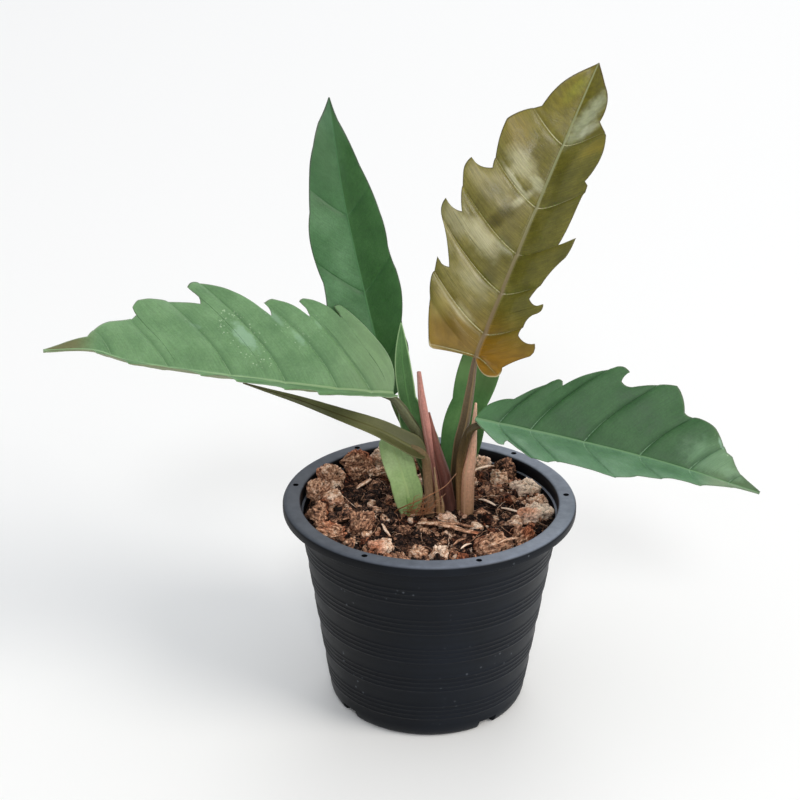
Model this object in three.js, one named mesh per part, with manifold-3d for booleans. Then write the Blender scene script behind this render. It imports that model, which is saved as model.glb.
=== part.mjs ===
// A potted caramel marble philodendron, in millimetres, +Z up, seen in use from -Y.
// The origin is the centre of the pot's underside, so the pot stands on z = 0.
// A leaf is drawn flat first, as x along its midrib and w out to each side, and then bent along its midrib.

import * as THREE from "three";
import { mergeVertices } from "three/addons/utils/BufferGeometryUtils.js";
import Module from "manifold-3d";

const wasm = await Module();
wasm.setup();

// Driving dimensions of the pot: a 6-inch nursery pot, 150 across its lip.
const POT = {
  height: 112,
  lipRadius: 75,
  lipInner: 66.4,
  lipDepth: 5,
  lipSkirt: 1.6,
  shoulderRadius: 66.7,
  footRadius: 51.8,
  footRound: 8.7,
  wall: 1.8,
  floor: 3,
  segments: 36,
};
const RING_GROUPS = { first: 16.5, pitch: 18.25, count: 5, halfHeight: 4.5, relief: 0.4 };
const LIP_HOLES = { radius: 1.5, circle: 70.4, pairs: [-94, 26, 146], spread: 23 };
const FOOT_NOTCH = { width: 11, height: 5.5, angles: [-53, -143, 37, 127] };
const DRAIN = { radius: 4, circle: 34, count: 8 };

// Driving dimensions of the growing mix and of its husk chips. A chip leans by up to tilt, in radians, stands
// by a share of its height, has each corner drawn in or out within cut, and may rise over the lip by over.
const MIX = { level: 103.6, bottom: 3.3, edgeGap: 0.4, rings: 5, segments: 30, relief: 1.6, tilt: 0.03 };
const CHIPS = { seed: 7, tilt: 0.35, stand: 0.18, cut: [0.78, 1.1], over: 9 };

// Where the husk chips lie, as x, y, length, width, height and turn in degrees.
const CHIP_PLACES = [
  [-31, 68, 11, 9, 9, 20], [-46, 57, 16, 12, 10, -30], [-56, 31, 15, 12, 10, 15], [-60, 14, 10, 11, 8, 60],
  [-58, -7, 11, 9, 8, -50], [-50, 8, 11, 8, 7, 10], [-45, -9, 12, 10, 8, 35], [-35, -17, 17, 12, 11, 78],
  [-49, -26, 14, 9, 8, -25], [-26, -41, 14, 11, 9, -15], [-40, -36, 7, 6, 6, 40], [-28, 22, 8, 6, 6, 0],
  [-26, 38, 12, 8, 5, 25], [10, -10, 11, 8, 7, 5], [4, -47, 11, 7, 7, 12], [-5, -44, 9, 8, 7, 50],
  [27, -7, 9, 8, 6, -35], [31, -37, 18, 13, 10, 20], [46, -28, 14, 10, 8, 30], [55, -6, 17, 15, 10, 55],
  [53, 22, 16, 11, 9, 20], [48, 9, 9, 7, 3, -20], [44, 46, 15, 13, 12, 30], [32, 55, 11, 8, 8, -10],
  [42, -13, 9, 7, 6, 0], [-13, -23, 11, 9, 6, -60], [26, 60, 8, 6, 6, 0], [19, 55, 8, 7, 6, 45],
  [46, 29, 7, 6, 6, 10], [16, -51, 9, 6, 6, 65], [-15, -52, 12, 8, 7, -20], [30, -51, 10, 8, 6, 30],
  [58, 8, 9, 8, 7, 80], [-38, 40, 11, 9, 7, -70], [-20, 55, 12, 9, 8, 10], [-5, 58, 13, 10, 8, 40],
  [8, 60, 11, 8, 7, -40], [38, 35, 10, 8, 7, 15], [5, 46, 9, 8, 6, 70], [-12, 43, 10, 7, 6, -15],
  [20, 40, 10, 9, 7, 25], [32, 20, 9, 8, 6, -50],
];

// Clearances and thicknesses of the plant, and the height that its stems are rooted at.
const HOLE_GAP = 0.35;
const BLADE = 0.85;
const STEM_SIDES = 8;
const ROOTED = 88;

// How finely a blade is drawn: the steps in one arc of its margin, and the least distance between rows.
const ARC_STEPS = 24;
const CLOSEST_ROWS = 0.25;

// The build of every blade: how its rows sweep out along the veins, how its margins share them out, the
// radius of its soft fold, the half widths at which its curl and its quilting are full, the lag between
// the waves of its two sides and the share of the midrib's ridge that is gone at the tip.
const BUILD = {
  sweep: 1.15,
  evenShare: 0.05,
  softFold: 3,
  curlAt: 35,
  quiltAt: 12,
  sideLag: 7,
  ribTaper: 0.75,
};

// Finishes, as colour, roughness and metalness.
const finish = (color, roughness) => new THREE.MeshStandardMaterial({ color, roughness, metalness: 0 });

// Shared helpers

const v3 = ([x, y, z]) => new THREE.Vector3(x, y, z);
const radians = THREE.MathUtils.degToRad;
const lerp = THREE.MathUtils.lerp;
const clamp = THREE.MathUtils.clamp;

// Repeatable draws from 0 to 1.
function dice(seed) {
  let state = seed;
  return () => {
    state = (state * 16807) % 2147483647;
    return state / 2147483647;
  };
}

// A closed geometry as a solid that can be cut and joined.
function solid(geometry) {
  const bare = geometry.clone();
  bare.deleteAttribute("normal");
  bare.deleteAttribute("uv");
  const merged = mergeVertices(bare, 1e-4);
  return new wasm.Manifold(
    new wasm.Mesh({
      numProp: 3,
      vertProperties: merged.attributes.position.array,
      triVerts: new Uint32Array(merged.index.array),
    }),
  );
}

// The largest body of a solid as a named mesh: scraps that a cut leaves loose are dropped.
function piece(name, body, material) {
  const largest = body.decompose().reduce((a, b) => (a.volume() > b.volume() ? a : b));
  const made = largest.getMesh();
  const geometry = new THREE.BufferGeometry();
  geometry.setAttribute("position", new THREE.BufferAttribute(made.vertProperties, 3));
  geometry.setIndex(new THREE.BufferAttribute(made.triVerts, 1));
  geometry.computeVertexNormals();
  const mesh = new THREE.Mesh(geometry, material);
  mesh.name = name;
  return mesh;
}

// A closed skin over a grid of points: the upper face, the lower face with the same triangles, and the rim.
function closedSheet(upper, lower) {
  const rows = upper.length;
  const columns = upper[0].length;
  const top = (r, c) => r * columns + c;
  const under = (r, c) => rows * columns + top(r, c);
  const index = [];
  const quad = (a, b, c, d) => index.push(a, b, c, a, c, d);
  for (let r = 0; r < rows - 1; r++) {
    for (let c = 0; c < columns - 1; c++) {
      quad(top(r, c), top(r, c + 1), top(r + 1, c + 1), top(r + 1, c));
      index.push(under(r, c), under(r + 1, c + 1), under(r, c + 1));
      index.push(under(r, c), under(r + 1, c), under(r + 1, c + 1));
    }
    const last = columns - 1;
    quad(top(r, 0), top(r + 1, 0), under(r + 1, 0), under(r, 0));
    quad(top(r, last), under(r, last), under(r + 1, last), top(r + 1, last));
  }
  for (let c = 0; c < columns - 1; c++) {
    quad(top(0, c), under(0, c), under(0, c + 1), top(0, c + 1));
    quad(top(rows - 1, c), top(rows - 1, c + 1), under(rows - 1, c + 1), under(rows - 1, c));
  }
  const points = [...upper.flat(), ...lower.flat()].flatMap((p) => p.toArray());
  const geometry = new THREE.BufferGeometry();
  geometry.setAttribute("position", new THREE.Float32BufferAttribute(points, 3));
  geometry.setIndex(index);
  return geometry;
}

// A tapered stem with closed ends along a curve: radii are spread evenly over its length.
function stem(points, radii, steps, sides = STEM_SIDES) {
  const curve = new THREE.CatmullRomCurve3(points.map(v3));
  const frames = curve.computeFrenetFrames(steps, false);
  const position = [];
  const index = [];
  for (let i = 0; i <= steps; i++) {
    const centre = curve.getPointAt(i / steps);
    const along = (i / steps) * (radii.length - 1);
    const from = Math.min(Math.floor(along), radii.length - 2);
    const radius = lerp(radii[from], radii[from + 1], along - from);
    for (let k = 0; k < sides; k++) {
      const turn = (2 * Math.PI * k) / sides;
      const p = centre.clone();
      p.addScaledVector(frames.normals[i], Math.cos(turn) * radius);
      p.addScaledVector(frames.binormals[i], Math.sin(turn) * radius);
      position.push(p.x, p.y, p.z);
    }
  }
  const at = (i, k) => i * sides + (k % sides);
  for (let i = 0; i < steps; i++) {
    for (let k = 0; k < sides; k++) {
      index.push(at(i, k), at(i, k + 1), at(i + 1, k + 1));
      index.push(at(i, k), at(i + 1, k + 1), at(i + 1, k));
    }
  }
  for (let k = 1; k < sides - 1; k++) {
    index.push(0, at(0, k + 1), at(0, k));
    index.push(at(steps, 0), at(steps, k), at(steps, k + 1));
  }
  const geometry = new THREE.BufferGeometry();
  geometry.setAttribute("position", new THREE.Float32BufferAttribute(position, 3));
  geometry.setIndex(index);
  return solid(geometry);
}

// A plain hole for a stem that stands in the growing mix, a little wider than its buried end.
function stemHole(points, radii) {
  const [foot, collar] = points.map(v3);
  const out = collar.clone().lerp(foot, -0.3);
  const into = foot.clone().lerp(collar, -0.1);
  const radius = Math.max(...radii.slice(0, 3)) + HOLE_GAP + 0.2;
  return stem([into.toArray(), out.toArray()], [radius, radius], 1);
}

// Leaves

// The direction that a blade's upper face looks in, by azimuth and elevation in degrees.
function facing([azimuth, elevation]) {
  const a = radians(azimuth);
  const e = radians(elevation);
  return new THREE.Vector3(Math.cos(a) * Math.cos(e), Math.sin(a) * Math.cos(e), Math.sin(e));
}

// One margin of a flat leaf: arcs [x, w, bulge] from the base to the tip, a bulge being rise over chord.
function margin(arcs) {
  const line = [new THREE.Vector2(...arcs[0])];
  for (const [x, w, bulge = 0] of arcs.slice(1)) {
    const from = line.at(-1).clone();
    const to = new THREE.Vector2(x, w);
    const chord = to.clone().sub(from);
    const middle = from.clone().lerp(to, 0.5);
    middle.add(new THREE.Vector2(-chord.y, chord.x).multiplyScalar(2 * bulge));
    const arc = new THREE.QuadraticBezierCurve(from, middle, to);
    line.push(...arc.getPoints(ARC_STEPS).slice(1));
  }
  return line;
}

// The foot on the midrib of each margin point, going back down a lateral vein, never turning back.
function feet(line, length, slant) {
  const foot = [];
  let furthest = 0;
  for (const p of line) {
    furthest = Math.max(furthest, clamp(p.x - p.y * slant, 0, length));
    foot.push(furthest);
  }
  const spread = foot.map((f, i) => lerp(f, (length * i) / (foot.length - 1), BUILD.evenShare));
  const [low, high] = [spread[0], spread.at(-1)];
  return spread.map((f) => ((f - low) / (high - low)) * length);
}

// The value at x in a rising list of keys.
function along(keys, values, x) {
  let i = 1;
  while (i < keys.length - 1 && keys[i] < x) i++;
  const part = clamp((x - keys[i - 1]) / (keys[i] - keys[i - 1] || 1), 0, 1);
  return values[i - 1] + (values[i] - values[i - 1]) * part;
}

// A blade: rows of points across it, each row running out along the lateral veins to both margins.
function blade(leaf, grow = 0) {
  const curve = new THREE.CatmullRomCurve3(leaf.midrib.map(v3));
  const length = curve.getLength();
  const slant = 1 / Math.tan(radians(leaf.veinAngle));
  const halves = [leaf.left, leaf.right].map((arcs) => {
    const line = margin(arcs);
    const foot = feet(line, length, slant);
    const run = [0];
    for (let i = 1; i < line.length; i++) run.push(run[i - 1] + line[i].distanceTo(line[i - 1]));
    const joints = foot.filter((_, i) => i % ARC_STEPS === 0);
    return { foot, x: line.map((p) => p.x), w: line.map((p) => p.y), run, joints };
  });
  // A row passes through every lobe tip and notch, with more rows between them where a margin is longer.
  const steps = 600;
  const keys = Array.from({ length: steps + 1 }, (_, i) => (i / steps) * length);
  const share = keys.map((x) => {
    const runs = halves.map((h) => along(h.foot, h.run, x) / h.run.at(-1));
    return (0.5 * x) / length + runs[0] + runs[1];
  });
  const joints = halves.flatMap((h) => h.joints).sort((a, b) => a - b);
  const rows = [0];
  for (const joint of joints) {
    if (joint - rows.at(-1) < CLOSEST_ROWS) continue;
    const [from, to] = [along(keys, share, rows.at(-1)), along(keys, share, joint)];
    const parts = Math.max(1, Math.round(((to - from) / share.at(-1)) * leaf.rows));
    for (let k = 1; k < parts; k++) rows.push(along(share, keys, lerp(from, to, k / parts)));
    rows.push(joint);
  }
  rows[rows.length - 1] = length;
  const upper = [];
  const lower = [];
  for (const foot of rows) {
    const top = [];
    const under = [];
    for (const [side, part] of leaf.columns) {
      const half = halves[side < 0 ? 0 : 1];
      const edge = { x: along(half.foot, half.x, foot), w: along(half.foot, half.w, foot) };
      const reach = part ** BUILD.sweep;
      const x = foot + (edge.x - foot) * reach;
      const w = edge.w * part + (part === 1 ? grow : 0);
      const place = placeOn(curve, length, leaf, x, w, side, foot, part);
      top.push(place.point.clone().addScaledVector(place.normal, BLADE / 2 + grow));
      const rib = part === 0 ? leaf.rib * (1 - (BUILD.ribTaper * foot) / length) : 0;
      under.push(place.point.clone().addScaledVector(place.normal, -BLADE / 2 - grow - rib));
    }
    upper.push(top);
    lower.push(under);
  }
  return solid(closedSheet(upper, lower));
}

// Bends a flat point onto the leaf: a soft V at the midrib, a curl, quilting between veins and waves.
function placeOn(curve, length, leaf, x, w, side, foot, part) {
  const u = clamp(x / length, 0, 1);
  const centre = curve.getPointAt(u);
  const tangent = curve.getTangentAt(clamp(u, 0.01, 0.99));
  centre.addScaledVector(tangent, x - u * length);
  const face = facing(leaf.face);
  face.addScaledVector(tangent, -face.dot(tangent)).normalize();
  const across = new THREE.Vector3().crossVectors(tangent, face);
  const fold = radians(lerp(...leaf.fold[side < 0 ? 0 : 1], u));
  const soft = BUILD.softFold * Math.sin(fold);
  const rise = Math.hypot(w * Math.sin(fold), soft) - soft;
  const curl = (side < 0 ? leaf.curl[0] : leaf.curl[1]) * (w / BUILD.curlAt) ** 2;
  const swell = Math.abs(Math.sin((Math.PI * foot * leaf.veins) / length));
  const quilt = leaf.quilt * swell * Math.min(w / BUILD.quiltAt, 1);
  const phase = (2 * Math.PI * (foot + side * BUILD.sideLag)) / leaf.waveLength;
  const wave = leaf.wave * Math.sin(phase) * part ** 2;
  const point = centre.addScaledVector(across, side * w * Math.cos(fold));
  point.addScaledVector(face, rise - curl + quilt + wave);
  const lean = fold * Math.min(1, w / BUILD.softFold);
  const normal = face.multiplyScalar(Math.cos(lean)).addScaledVector(across, -side * Math.sin(lean));
  return { point, normal };
}

const acrossParts = (parts) => [
  ...parts.toReversed().map((p) => [-1, p]),
  [1, 0],
  ...parts.map((p) => [1, p]),
];
const BROAD = acrossParts([0.1, 0.55, 1]);
const SLIM = acrossParts([0.5, 1]);

// The four large leaves. Margins are read on the flat leaf; left and right are as seen from above, tip up.
const LARGE_LEAVES = {
  leaf_left: {
    color: 0x6f9270,
    petiole: [[3.6, 6.2, ROOTED], [3.5, 6.2, 106], [2.4, 6.2, 113], [0.8, 6, 124.5], [-1.4, 5, 133.4],
      [-5.1, 3, 144.4], [-10.2, 0, 154.7], [-18.8, -3.8, 168.6], [-24.5, -5.2, 171.6]],
    radii: [3.3, 3.2, 3.1, 3, 2.9, 2.7, 1.4],
    midrib: [[-18.6, -4, 171.2], [-46, -9, 175.7], [-75.4, -12, 180.7], [-130, -18, 190.8],
      [-147, -20.5, 195], [-163, -22.6, 201.2], [-186.4, -25, 201.9]],
    face: [-90, 77],
    fold: [[35, 39], [33, 12]],
    curl: [2.3, 1.5],
    veinAngle: 50,
    veins: 8,
    quilt: 1.3,
    rib: 1.8,
    wave: 0.6,
    waveLength: 44,
    rows: 34,
    columns: BROAD,
    left: [[0, 0.5], [4, 20, 0.12], [10, 27.5, 0.1], [13, 25, -0.1], [21.7, 33.5, 0.05], [37, 39, 0.03],
      [41.2, 42.9, 0.1], [42.7, 37.6, -0.1], [56.4, 39.1, 0.06], [82.1, 33.5, 0.03], [95.8, 21.7, -0.03],
      [105.2, 16.1, -0.08], [117.6, 19.4, -0.06], [128, 27, 0.03], [137, 27.5, 0.12], [144.4, 20.5, 0.05],
      [149.8, 5.3, 0], [172.6, 0.4, -0.06]],
    right: [[0, 0.5], [5.1, 25.7, 0.1], [26.9, 48.6, 0.06], [31.8, 47.6, 0.2], [27.3, 41.2, -0.1],
      [48, 52.5, 0.08], [50.4, 50.8, 0.2], [44.8, 40.6, -0.12], [63.5, 51.3, 0.07], [67.6, 48.3, 0.15],
      [63.6, 39.2, -0.12], [101, 58.3, 0.07], [106.3, 53.4, 0.2], [99.1, 43, -0.15], [130.4, 40, 0.05],
      [134.8, 35.1, 0.15], [130.6, 31.1, -0.14], [144.3, 19.8, -0.04], [152.3, 8.4, 0.05],
      [172.6, 0.4, -0.04]],
  },
  leaf_back: {
    color: 0x3f7046,
    petiole: [[0, 15, ROOTED], [0.2, 15.2, 106], [-2.6, 18, 118.6], [-9.5, 22.6, 135.7],
      [-15, 22.8, 147], [-19, 22.4, 157.5], [-22.6, 25.6, 167.5]],
    radii: [2.4, 2.3, 2.2, 2.1, 2, 1.9, 1],
    midrib: [[-19.2, 22, 158.8], [-24, 26.5, 173], [-30.6, 33, 197.5], [-44.3, 47, 257.4],
      [-51.5, 58, 305.2]],
    face: [-90, 12],
    fold: [[20, 20], [20, 20]],
    curl: [1, 1],
    veinAngle: 45,
    veins: 9,
    quilt: 0.7,
    rib: 1.4,
    wave: 1,
    waveLength: 50,
    rows: 26,
    columns: BROAD,
    left: [[0, 0.5], [6, 11, 0.1], [28, 19, 0.06], [52.9, 21.2, 0.02], [65, 20.2, -0.02],
      [84.5, 22.1, 0.03], [100.6, 19.1, 0.04], [118, 16, 0.01], [132, 11.7, 0.03], [143, 7.5, 0.02],
      [154.5, 0.4, -0.02]],
    right: [[0, 0.5], [5.1, 8.5, 0.08], [20.1, 15.8, 0.05], [26, 16.6, 0.05], [37.4, 16.4, -0.04],
      [52.6, 20.1, 0.03], [64.2, 19.8, 0.02], [76.5, 18.3, -0.03], [93.9, 17.8, 0.04],
      [119.2, 11.5, 0.03], [142.8, 3.1, 0.02], [154.5, 0.4, -0.02]],
  },
  leaf_caramel: {
    color: 0x87743a,
    petiole: [[13.5, 11.3, ROOTED], [13.5, 11.3, 106], [13.6, 11.6, 116], [14.2, 12, 126.2],
      [15.4, 12.4, 138], [17.8, 13, 149], [20.8, 13.8, 168.5], [22.9, 14.3, 184.5], [25.2, 15.6, 191.5]],
    radii: [2.9, 2.9, 2.9, 2.8, 2.7, 2.5, 1.5],
    midrib: [[22.4, 14, 183.3], [45.8, 31, 240], [71, 54, 296], [82.6, 62, 322.3]],
    face: [-118, 20],
    fold: [[28, 24], [28, 24]],
    curl: [2, 2],
    veinAngle: 60,
    veins: 8,
    quilt: 1.5,
    rib: 1.8,
    wave: 0.8,
    waveLength: 40,
    rows: 34,
    columns: BROAD,
    left: [[0, 0.5], [-3.5, 21.9, -0.02], [-0.9, 26.3, 0.2], [40.3, 37.1, 0.05], [37.7, 29.3, -0.16],
      [59.9, 45, -0.05], [68.4, 45, 0.15], [65.2, 34, -0.12], [83.4, 41.6, 0.03], [91.9, 40.7, 0.12],
      [91, 28.6, -0.16], [116.1, 31, 0.05], [129, 18.4, 0.06], [142.5, 13, 0.03], [159.1, 0.4, 0.03]],
    right: [[0, 0.5], [-4.6, 8, 0.06], [-4.2, 18.8, 0.1], [-0.8, 22.2, 0.16], [1.8, 21.7, 0.1],
      [12.8, 36.2, -0.03], [19.8, 36.4, 0.25], [20, 24.4, -0.14], [34, 30.3, -0.2], [38.8, 31.1, 0.2],
      [38.4, 21.2, -0.2], [62.5, 33.4, -0.05], [72.9, 33.5, 0.1], [64, 28, -0.03], [62.6, 22.8, -0.3],
      [98.2, 27.2, 0.04], [99.9, 24.6, 0], [125.2, 25.1, 0.13],
      [131.3, 17.6, 0], [149.6, 10.5, 0.16], [159.1, 0.4, 0]],
  },
  leaf_right: {
    color: 0x4d7a50,
    petiole: [[16, 0.2, ROOTED], [16, 0.1, 108], [15.5, -0.2, 116.4], [15.3, -0.6, 126.8],
      [16, -1.8, 136.3], [18, -4.4, 146.6], [20.6, -7.2, 154.6], [24.8, -8.6, 158.4],
      [31, -9.6, 158.4]],
    radii: [2, 2, 2, 2.1, 2.4, 2.5, 1.5],
    midrib: [[22.1, -8, 159.7], [66.5, -18, 154], [116, -30, 146], [160.2, -38, 134.2]],
    face: [-90, 61],
    fold: [[32, 28], [32, 28]],
    curl: [1.5, 1.5],
    veinAngle: 52,
    veins: 7,
    quilt: 1.3,
    rib: 1.8,
    wave: 0.8,
    waveLength: 42,
    rows: 32,
    columns: BROAD,
    left: [[0, 0.5], [9.8, 12.3, 0.12], [16.7, 14.2, 0.05], [34.7, 27.4, 0.03], [38.3, 27.3, 0.2],
      [38.7, 25.4, 0], [60.3, 41.3, 0.04], [68.6, 41, 0.23], [65.8, 35, -0.1], [71.6, 33.6, -0.15],
      [91.7, 39.1, 0.05], [98.5, 28, 0.08], [101.5, 27, -0.1], [114.6, 23.6, 0.08], [122.9, 14.1, 0.03],
      [126.3, 13.1, 0], [136.3, 4.6, -0.04], [143.9, 0.4, 0]],
    right: [[0, 0.5], [15.9, 24.7, 0.03], [18.8, 24.2, 0.2], [19.8, 17.6, -0.1], [31.9, 29.9, 0.02],
      [41.9, 31, 0.1], [44.9, 26.4, -0.05], [70.6, 29.5, 0.03], [84.7, 21.3, 0.1], [109.8, 12.3, 0.03],
      [131.1, 3, 0], [143.9, 0.4, 0]],
  },
};

// The slim young leaves, each symmetric about its midrib: half is its width at its widest place along it.
const lance = (length, half, widest, taper) => [
  [0, half * 0.35],
  [length * widest, half, 0.1],
  [length, 0.4, taper],
];
const slim = ({ midrib, half, widest, taper, face, fold, ...rest }) => {
  const length = new THREE.CatmullRomCurve3(midrib.map(v3)).getLength();
  return {
    midrib,
    face,
    fold: [[fold, fold], [fold, fold]],
    curl: [0, 0],
    veinAngle: 80,
    veins: 1,
    quilt: 0,
    rib: 0.6,
    wave: 0,
    waveLength: 40,
    rows: 13,
    columns: SLIM,
    left: lance(length, half, widest, taper),
    right: lance(length, half, widest, taper),
    ...rest,
  };
};
const SLIM_LEAVES = {
  young_leaf_back: slim({
    color: 0x4a7d45,
    petiole: [[9.6, 17.6, ROOTED], [10.2, 17.8, 105], [13, 18.8, 112], [15, 21, 121]],
    radii: [2.6, 2.6, 2, 1.2],
    midrib: [[12.8, 18.4, 111], [14.6, 20.8, 119.5], [18.2, 25.8, 143.7], [25.4, 30, 171.2],
      [31, 33, 191], [33.8, 35, 205]],
    half: 9.3,
    widest: 0.45,
    taper: 0.1,
    face: [-90, 8],
    fold: 14,
  }),
  young_leaf_centre: slim({
    color: 0x4c7c47,
    petiole: [[4.6, 12.3, ROOTED], [4.5, 12.4, 106], [2.8, 12.2, 117], [0.6, 11.6, 125]],
    radii: [1.6, 1.6, 1.4, 1],
    midrib: [[2.6, 12.4, 115], [-2, 11, 135.8], [-9, 9.5, 153], [-12.8, 8.5, 172.3],
      [-14.4, 8.5, 187], [-15, 9, 204]],
    half: 4.4,
    widest: 0.56,
    taper: 0.04,
    face: [-90, 5],
    fold: 14,
  }),
  strap_leaf: slim({
    color: 0x5f6536,
    petiole: [[0.3, -3.9, ROOTED], [0.3, -4, 107], [-0.4, -4.4, 118], [-1.4, -5.2, 129],
      [-2.6, -6.8, 137.4], [-6.5, -8, 142.4], [-13, -8.5, 145.6]],
    radii: [2.6, 2.5, 2.4, 2.3, 2.2, 2, 1],
    midrib: [[-2.6, -8, 139.6], [-12.2, -9.3, 146], [-25.2, -8.5, 153.2], [-44.2, -5, 159.4],
      [-65.4, 2, 164.6], [-83.2, 7, 168.3], [-94.4, 10, 170.7]],
    half: 7.6,
    widest: 0.08,
    taper: 0,
    face: [-90, 62],
    fold: 28,
  }),
  pale_leaf: slim({
    color: 0x86a566,
    petiole: [[-9.8, -4.6, ROOTED], [-9.9, -5.2, 107], [-10.4, -5.6, 111], [-10.9, -6, 115]],
    radii: [2.2, 2.2, 1.8, 1],
    midrib: [[-10, -5.4, 102.5], [-11.2, -6.2, 117.9], [-13.4, -5.8, 125.7], [-16.2, -3.2, 134.4],
      [-19, 0.8, 139.6], [-22.4, 7, 142], [-25, 14.5, 141.5]],
    half: 7.2,
    widest: 0.42,
    taper: 0.1,
    face: [-84, 12],
    fold: 10,
  }),
};

// Pointed sheaths round the new growth, the dry sheath remains and the loose root, all tapered stems.
const SHEATHS = {
  cataphyll_pink: {
    color: 0xc08074,
    points: [[5.8, 0.5, ROOTED], [5.8, 0.5, 108], [3.5, -0.1, 121.7], [1.1, -0.8, 135.6],
      [-2.5, -1.2, 155.2], [-4.5, -1.2, 167.8], [-6, -1, 181.8]],
    radii: [1.9, 2, 2.4, 2.5, 2.3, 1.9, 1.1],
  },
  cataphyll_maroon: {
    color: 0x6b3a3a,
    points: [[10.8, 4.2, ROOTED], [10.8, 4.2, 106], [10.2, 4.2, 111.1], [7.4, 4.1, 124.3],
      [4.7, 3.8, 136.3], [2, 3.4, 148.2], [0.3, 3, 158.3]],
    radii: [3, 3.2, 3.4, 3.1, 2.4, 1.6, 0.4],
  },
  cataphyll_peach: {
    color: 0xb98468,
    points: [[20.3, -1.6, ROOTED], [20.3, -1.8, 107], [20.3, -2, 115], [20.4, -2, 126],
      [21.4, -0.4, 137], [22.2, 0.6, 151], [22.7, 0.8, 164.4]],
    radii: [2.3, 2.4, 2.5, 2.4, 1.8, 1.3, 0.6],
  },
};
const DRY_SHEATH = {
  color: 0x9a7550,
  strips: [
    {
      points: [[4.8, -5.6, ROOTED], [4.8, -5.6, 106], [4.2, -5.8, 113], [3.1, -5.4, 123],
        [2.2, -4.2, 131]],
      radii: [1.9, 1.8, 1.3, 0.9, 0.4],
    },
    {
      points: [[5.4, -6, ROOTED], [6.4, -6.4, 104], [6.8, -6.6, 110], [6, -6.6, 116]],
      radii: [1.6, 1.6, 1.1, 0.4],
    },
  ],
};
const AERIAL_ROOT = {
  color: 0x8c5a3c,
  points: [[-18.5, -4, 96], [-18, -6.5, 106], [-12.5, -12.5, 113], [-2.5, -14.4, 119], [7.6, -11.5, 124],
    [13.4, -5, 128]],
  radii: [0.7, 0.6],
};

// Pot

// Outer wall from foot to shoulder, with the shallow raised band of each group of rings.
function outerWall() {
  const { footRound, footRadius, shoulderRadius, height, lipDepth } = POT;
  const top = height - lipDepth;
  const radiusAt = (z) => lerp(footRadius, shoulderRadius, (z - footRound) / (top - footRound));
  const line = [];
  const cornerRadial = footRound * 0.55;
  for (let i = 0; i <= 4; i++) {
    const turn = (Math.PI / 2) * (i / 4);
    const inward = cornerRadial * (1 - Math.sin(turn));
    line.push([footRadius - inward, footRound * (1 - Math.cos(turn))]);
  }
  for (let g = 0; g < RING_GROUPS.count; g++) {
    const middle = RING_GROUPS.first + g * RING_GROUPS.pitch;
    const low = middle - RING_GROUPS.halfHeight;
    const high = middle + RING_GROUPS.halfHeight;
    line.push([radiusAt(low), low], [radiusAt(low) + RING_GROUPS.relief, low + 0.3]);
    line.push([radiusAt(high) + RING_GROUPS.relief, high - 0.3], [radiusAt(high), high]);
  }
  line.push([shoulderRadius, top]);
  return line;
}

// Radius of the inside of the pot's wall at a height.
function innerRadius(z) {
  const top = POT.height - POT.lipDepth;
  const rise = clamp((z - POT.footRound) / (top - POT.footRound), 0, 1);
  const corner = z < POT.footRound ? 0.35 * (POT.footRound - z) : 0;
  return lerp(POT.footRadius, POT.shoulderRadius, rise) - POT.wall - corner;
}

function potBody() {
  const { height, lipRadius, lipInner, lipDepth, lipSkirt, floor, segments } = POT;
  const profile = [
    [0, 0],
    ...outerWall(),
    [lipRadius - lipSkirt, height - lipDepth + 0.8],
    [lipRadius - lipSkirt, height - lipDepth],
    [lipRadius - 0.3, height - lipDepth],
    [lipRadius, height - lipDepth + 1],
    [lipRadius, height - 1.4],
    [lipRadius - 1, height - 0.2],
    [lipRadius - 2.6, height],
    [lipInner, height],
    [lipInner - 0.6, height - 1],
    [innerRadius(height - 9), height - 9],
    [innerRadius(floor + 4), floor + 4],
    [innerRadius(floor + 4) - 3, floor],
    [0, floor],
  ];
  const body = new THREE.LatheGeometry(profile.map(([r, z]) => new THREE.Vector2(r, z)), segments);
  body.rotateX(Math.PI / 2);
  let made = solid(body);
  const upright = (geometry, x, y, z) => {
    geometry.rotateX(Math.PI / 2);
    geometry.translate(x, y, z);
    return solid(geometry);
  };
  const onCircle = (radius, degrees) => {
    const turn = radians(degrees);
    return [radius * Math.cos(turn), radius * Math.sin(turn)];
  };
  for (const middle of LIP_HOLES.pairs) {
    for (const angle of [middle - LIP_HOLES.spread, middle + LIP_HOLES.spread]) {
      const [x, y] = onCircle(LIP_HOLES.circle, angle);
      const drill = new THREE.CylinderGeometry(LIP_HOLES.radius, LIP_HOLES.radius, 12, 8);
      made = made.subtract(upright(drill, x, y, height));
    }
  }
  for (let k = 0; k < DRAIN.count; k++) {
    const [x, y] = onCircle(DRAIN.circle, (360 * (k + 0.5)) / DRAIN.count);
    const drill = new THREE.CylinderGeometry(DRAIN.radius, DRAIN.radius, 3 * floor, 10);
    made = made.subtract(upright(drill, x, y, 0));
  }
  for (const angle of FOOT_NOTCH.angles) {
    const [x, y] = onCircle(POT.footRadius - 2, angle);
    const notch = new THREE.BoxGeometry(14, FOOT_NOTCH.width, 2 * FOOT_NOTCH.height);
    notch.rotateZ(radians(angle));
    notch.translate(x, y, 0);
    made = made.subtract(solid(notch));
  }
  return made;
}

// Growing mix

// Height of the packed surface: three slow waves that cross, heaped a little towards the back.
function mixLevel(x, y) {
  const waves = Math.sin(x * 0.21 + 1) + Math.sin(y * 0.24 - x * 0.09 + 2) + Math.sin((x + y) * 0.13);
  return MIX.level + (MIX.relief * waves) / 3 + MIX.tilt * (y - 0.4 * x);
}

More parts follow.
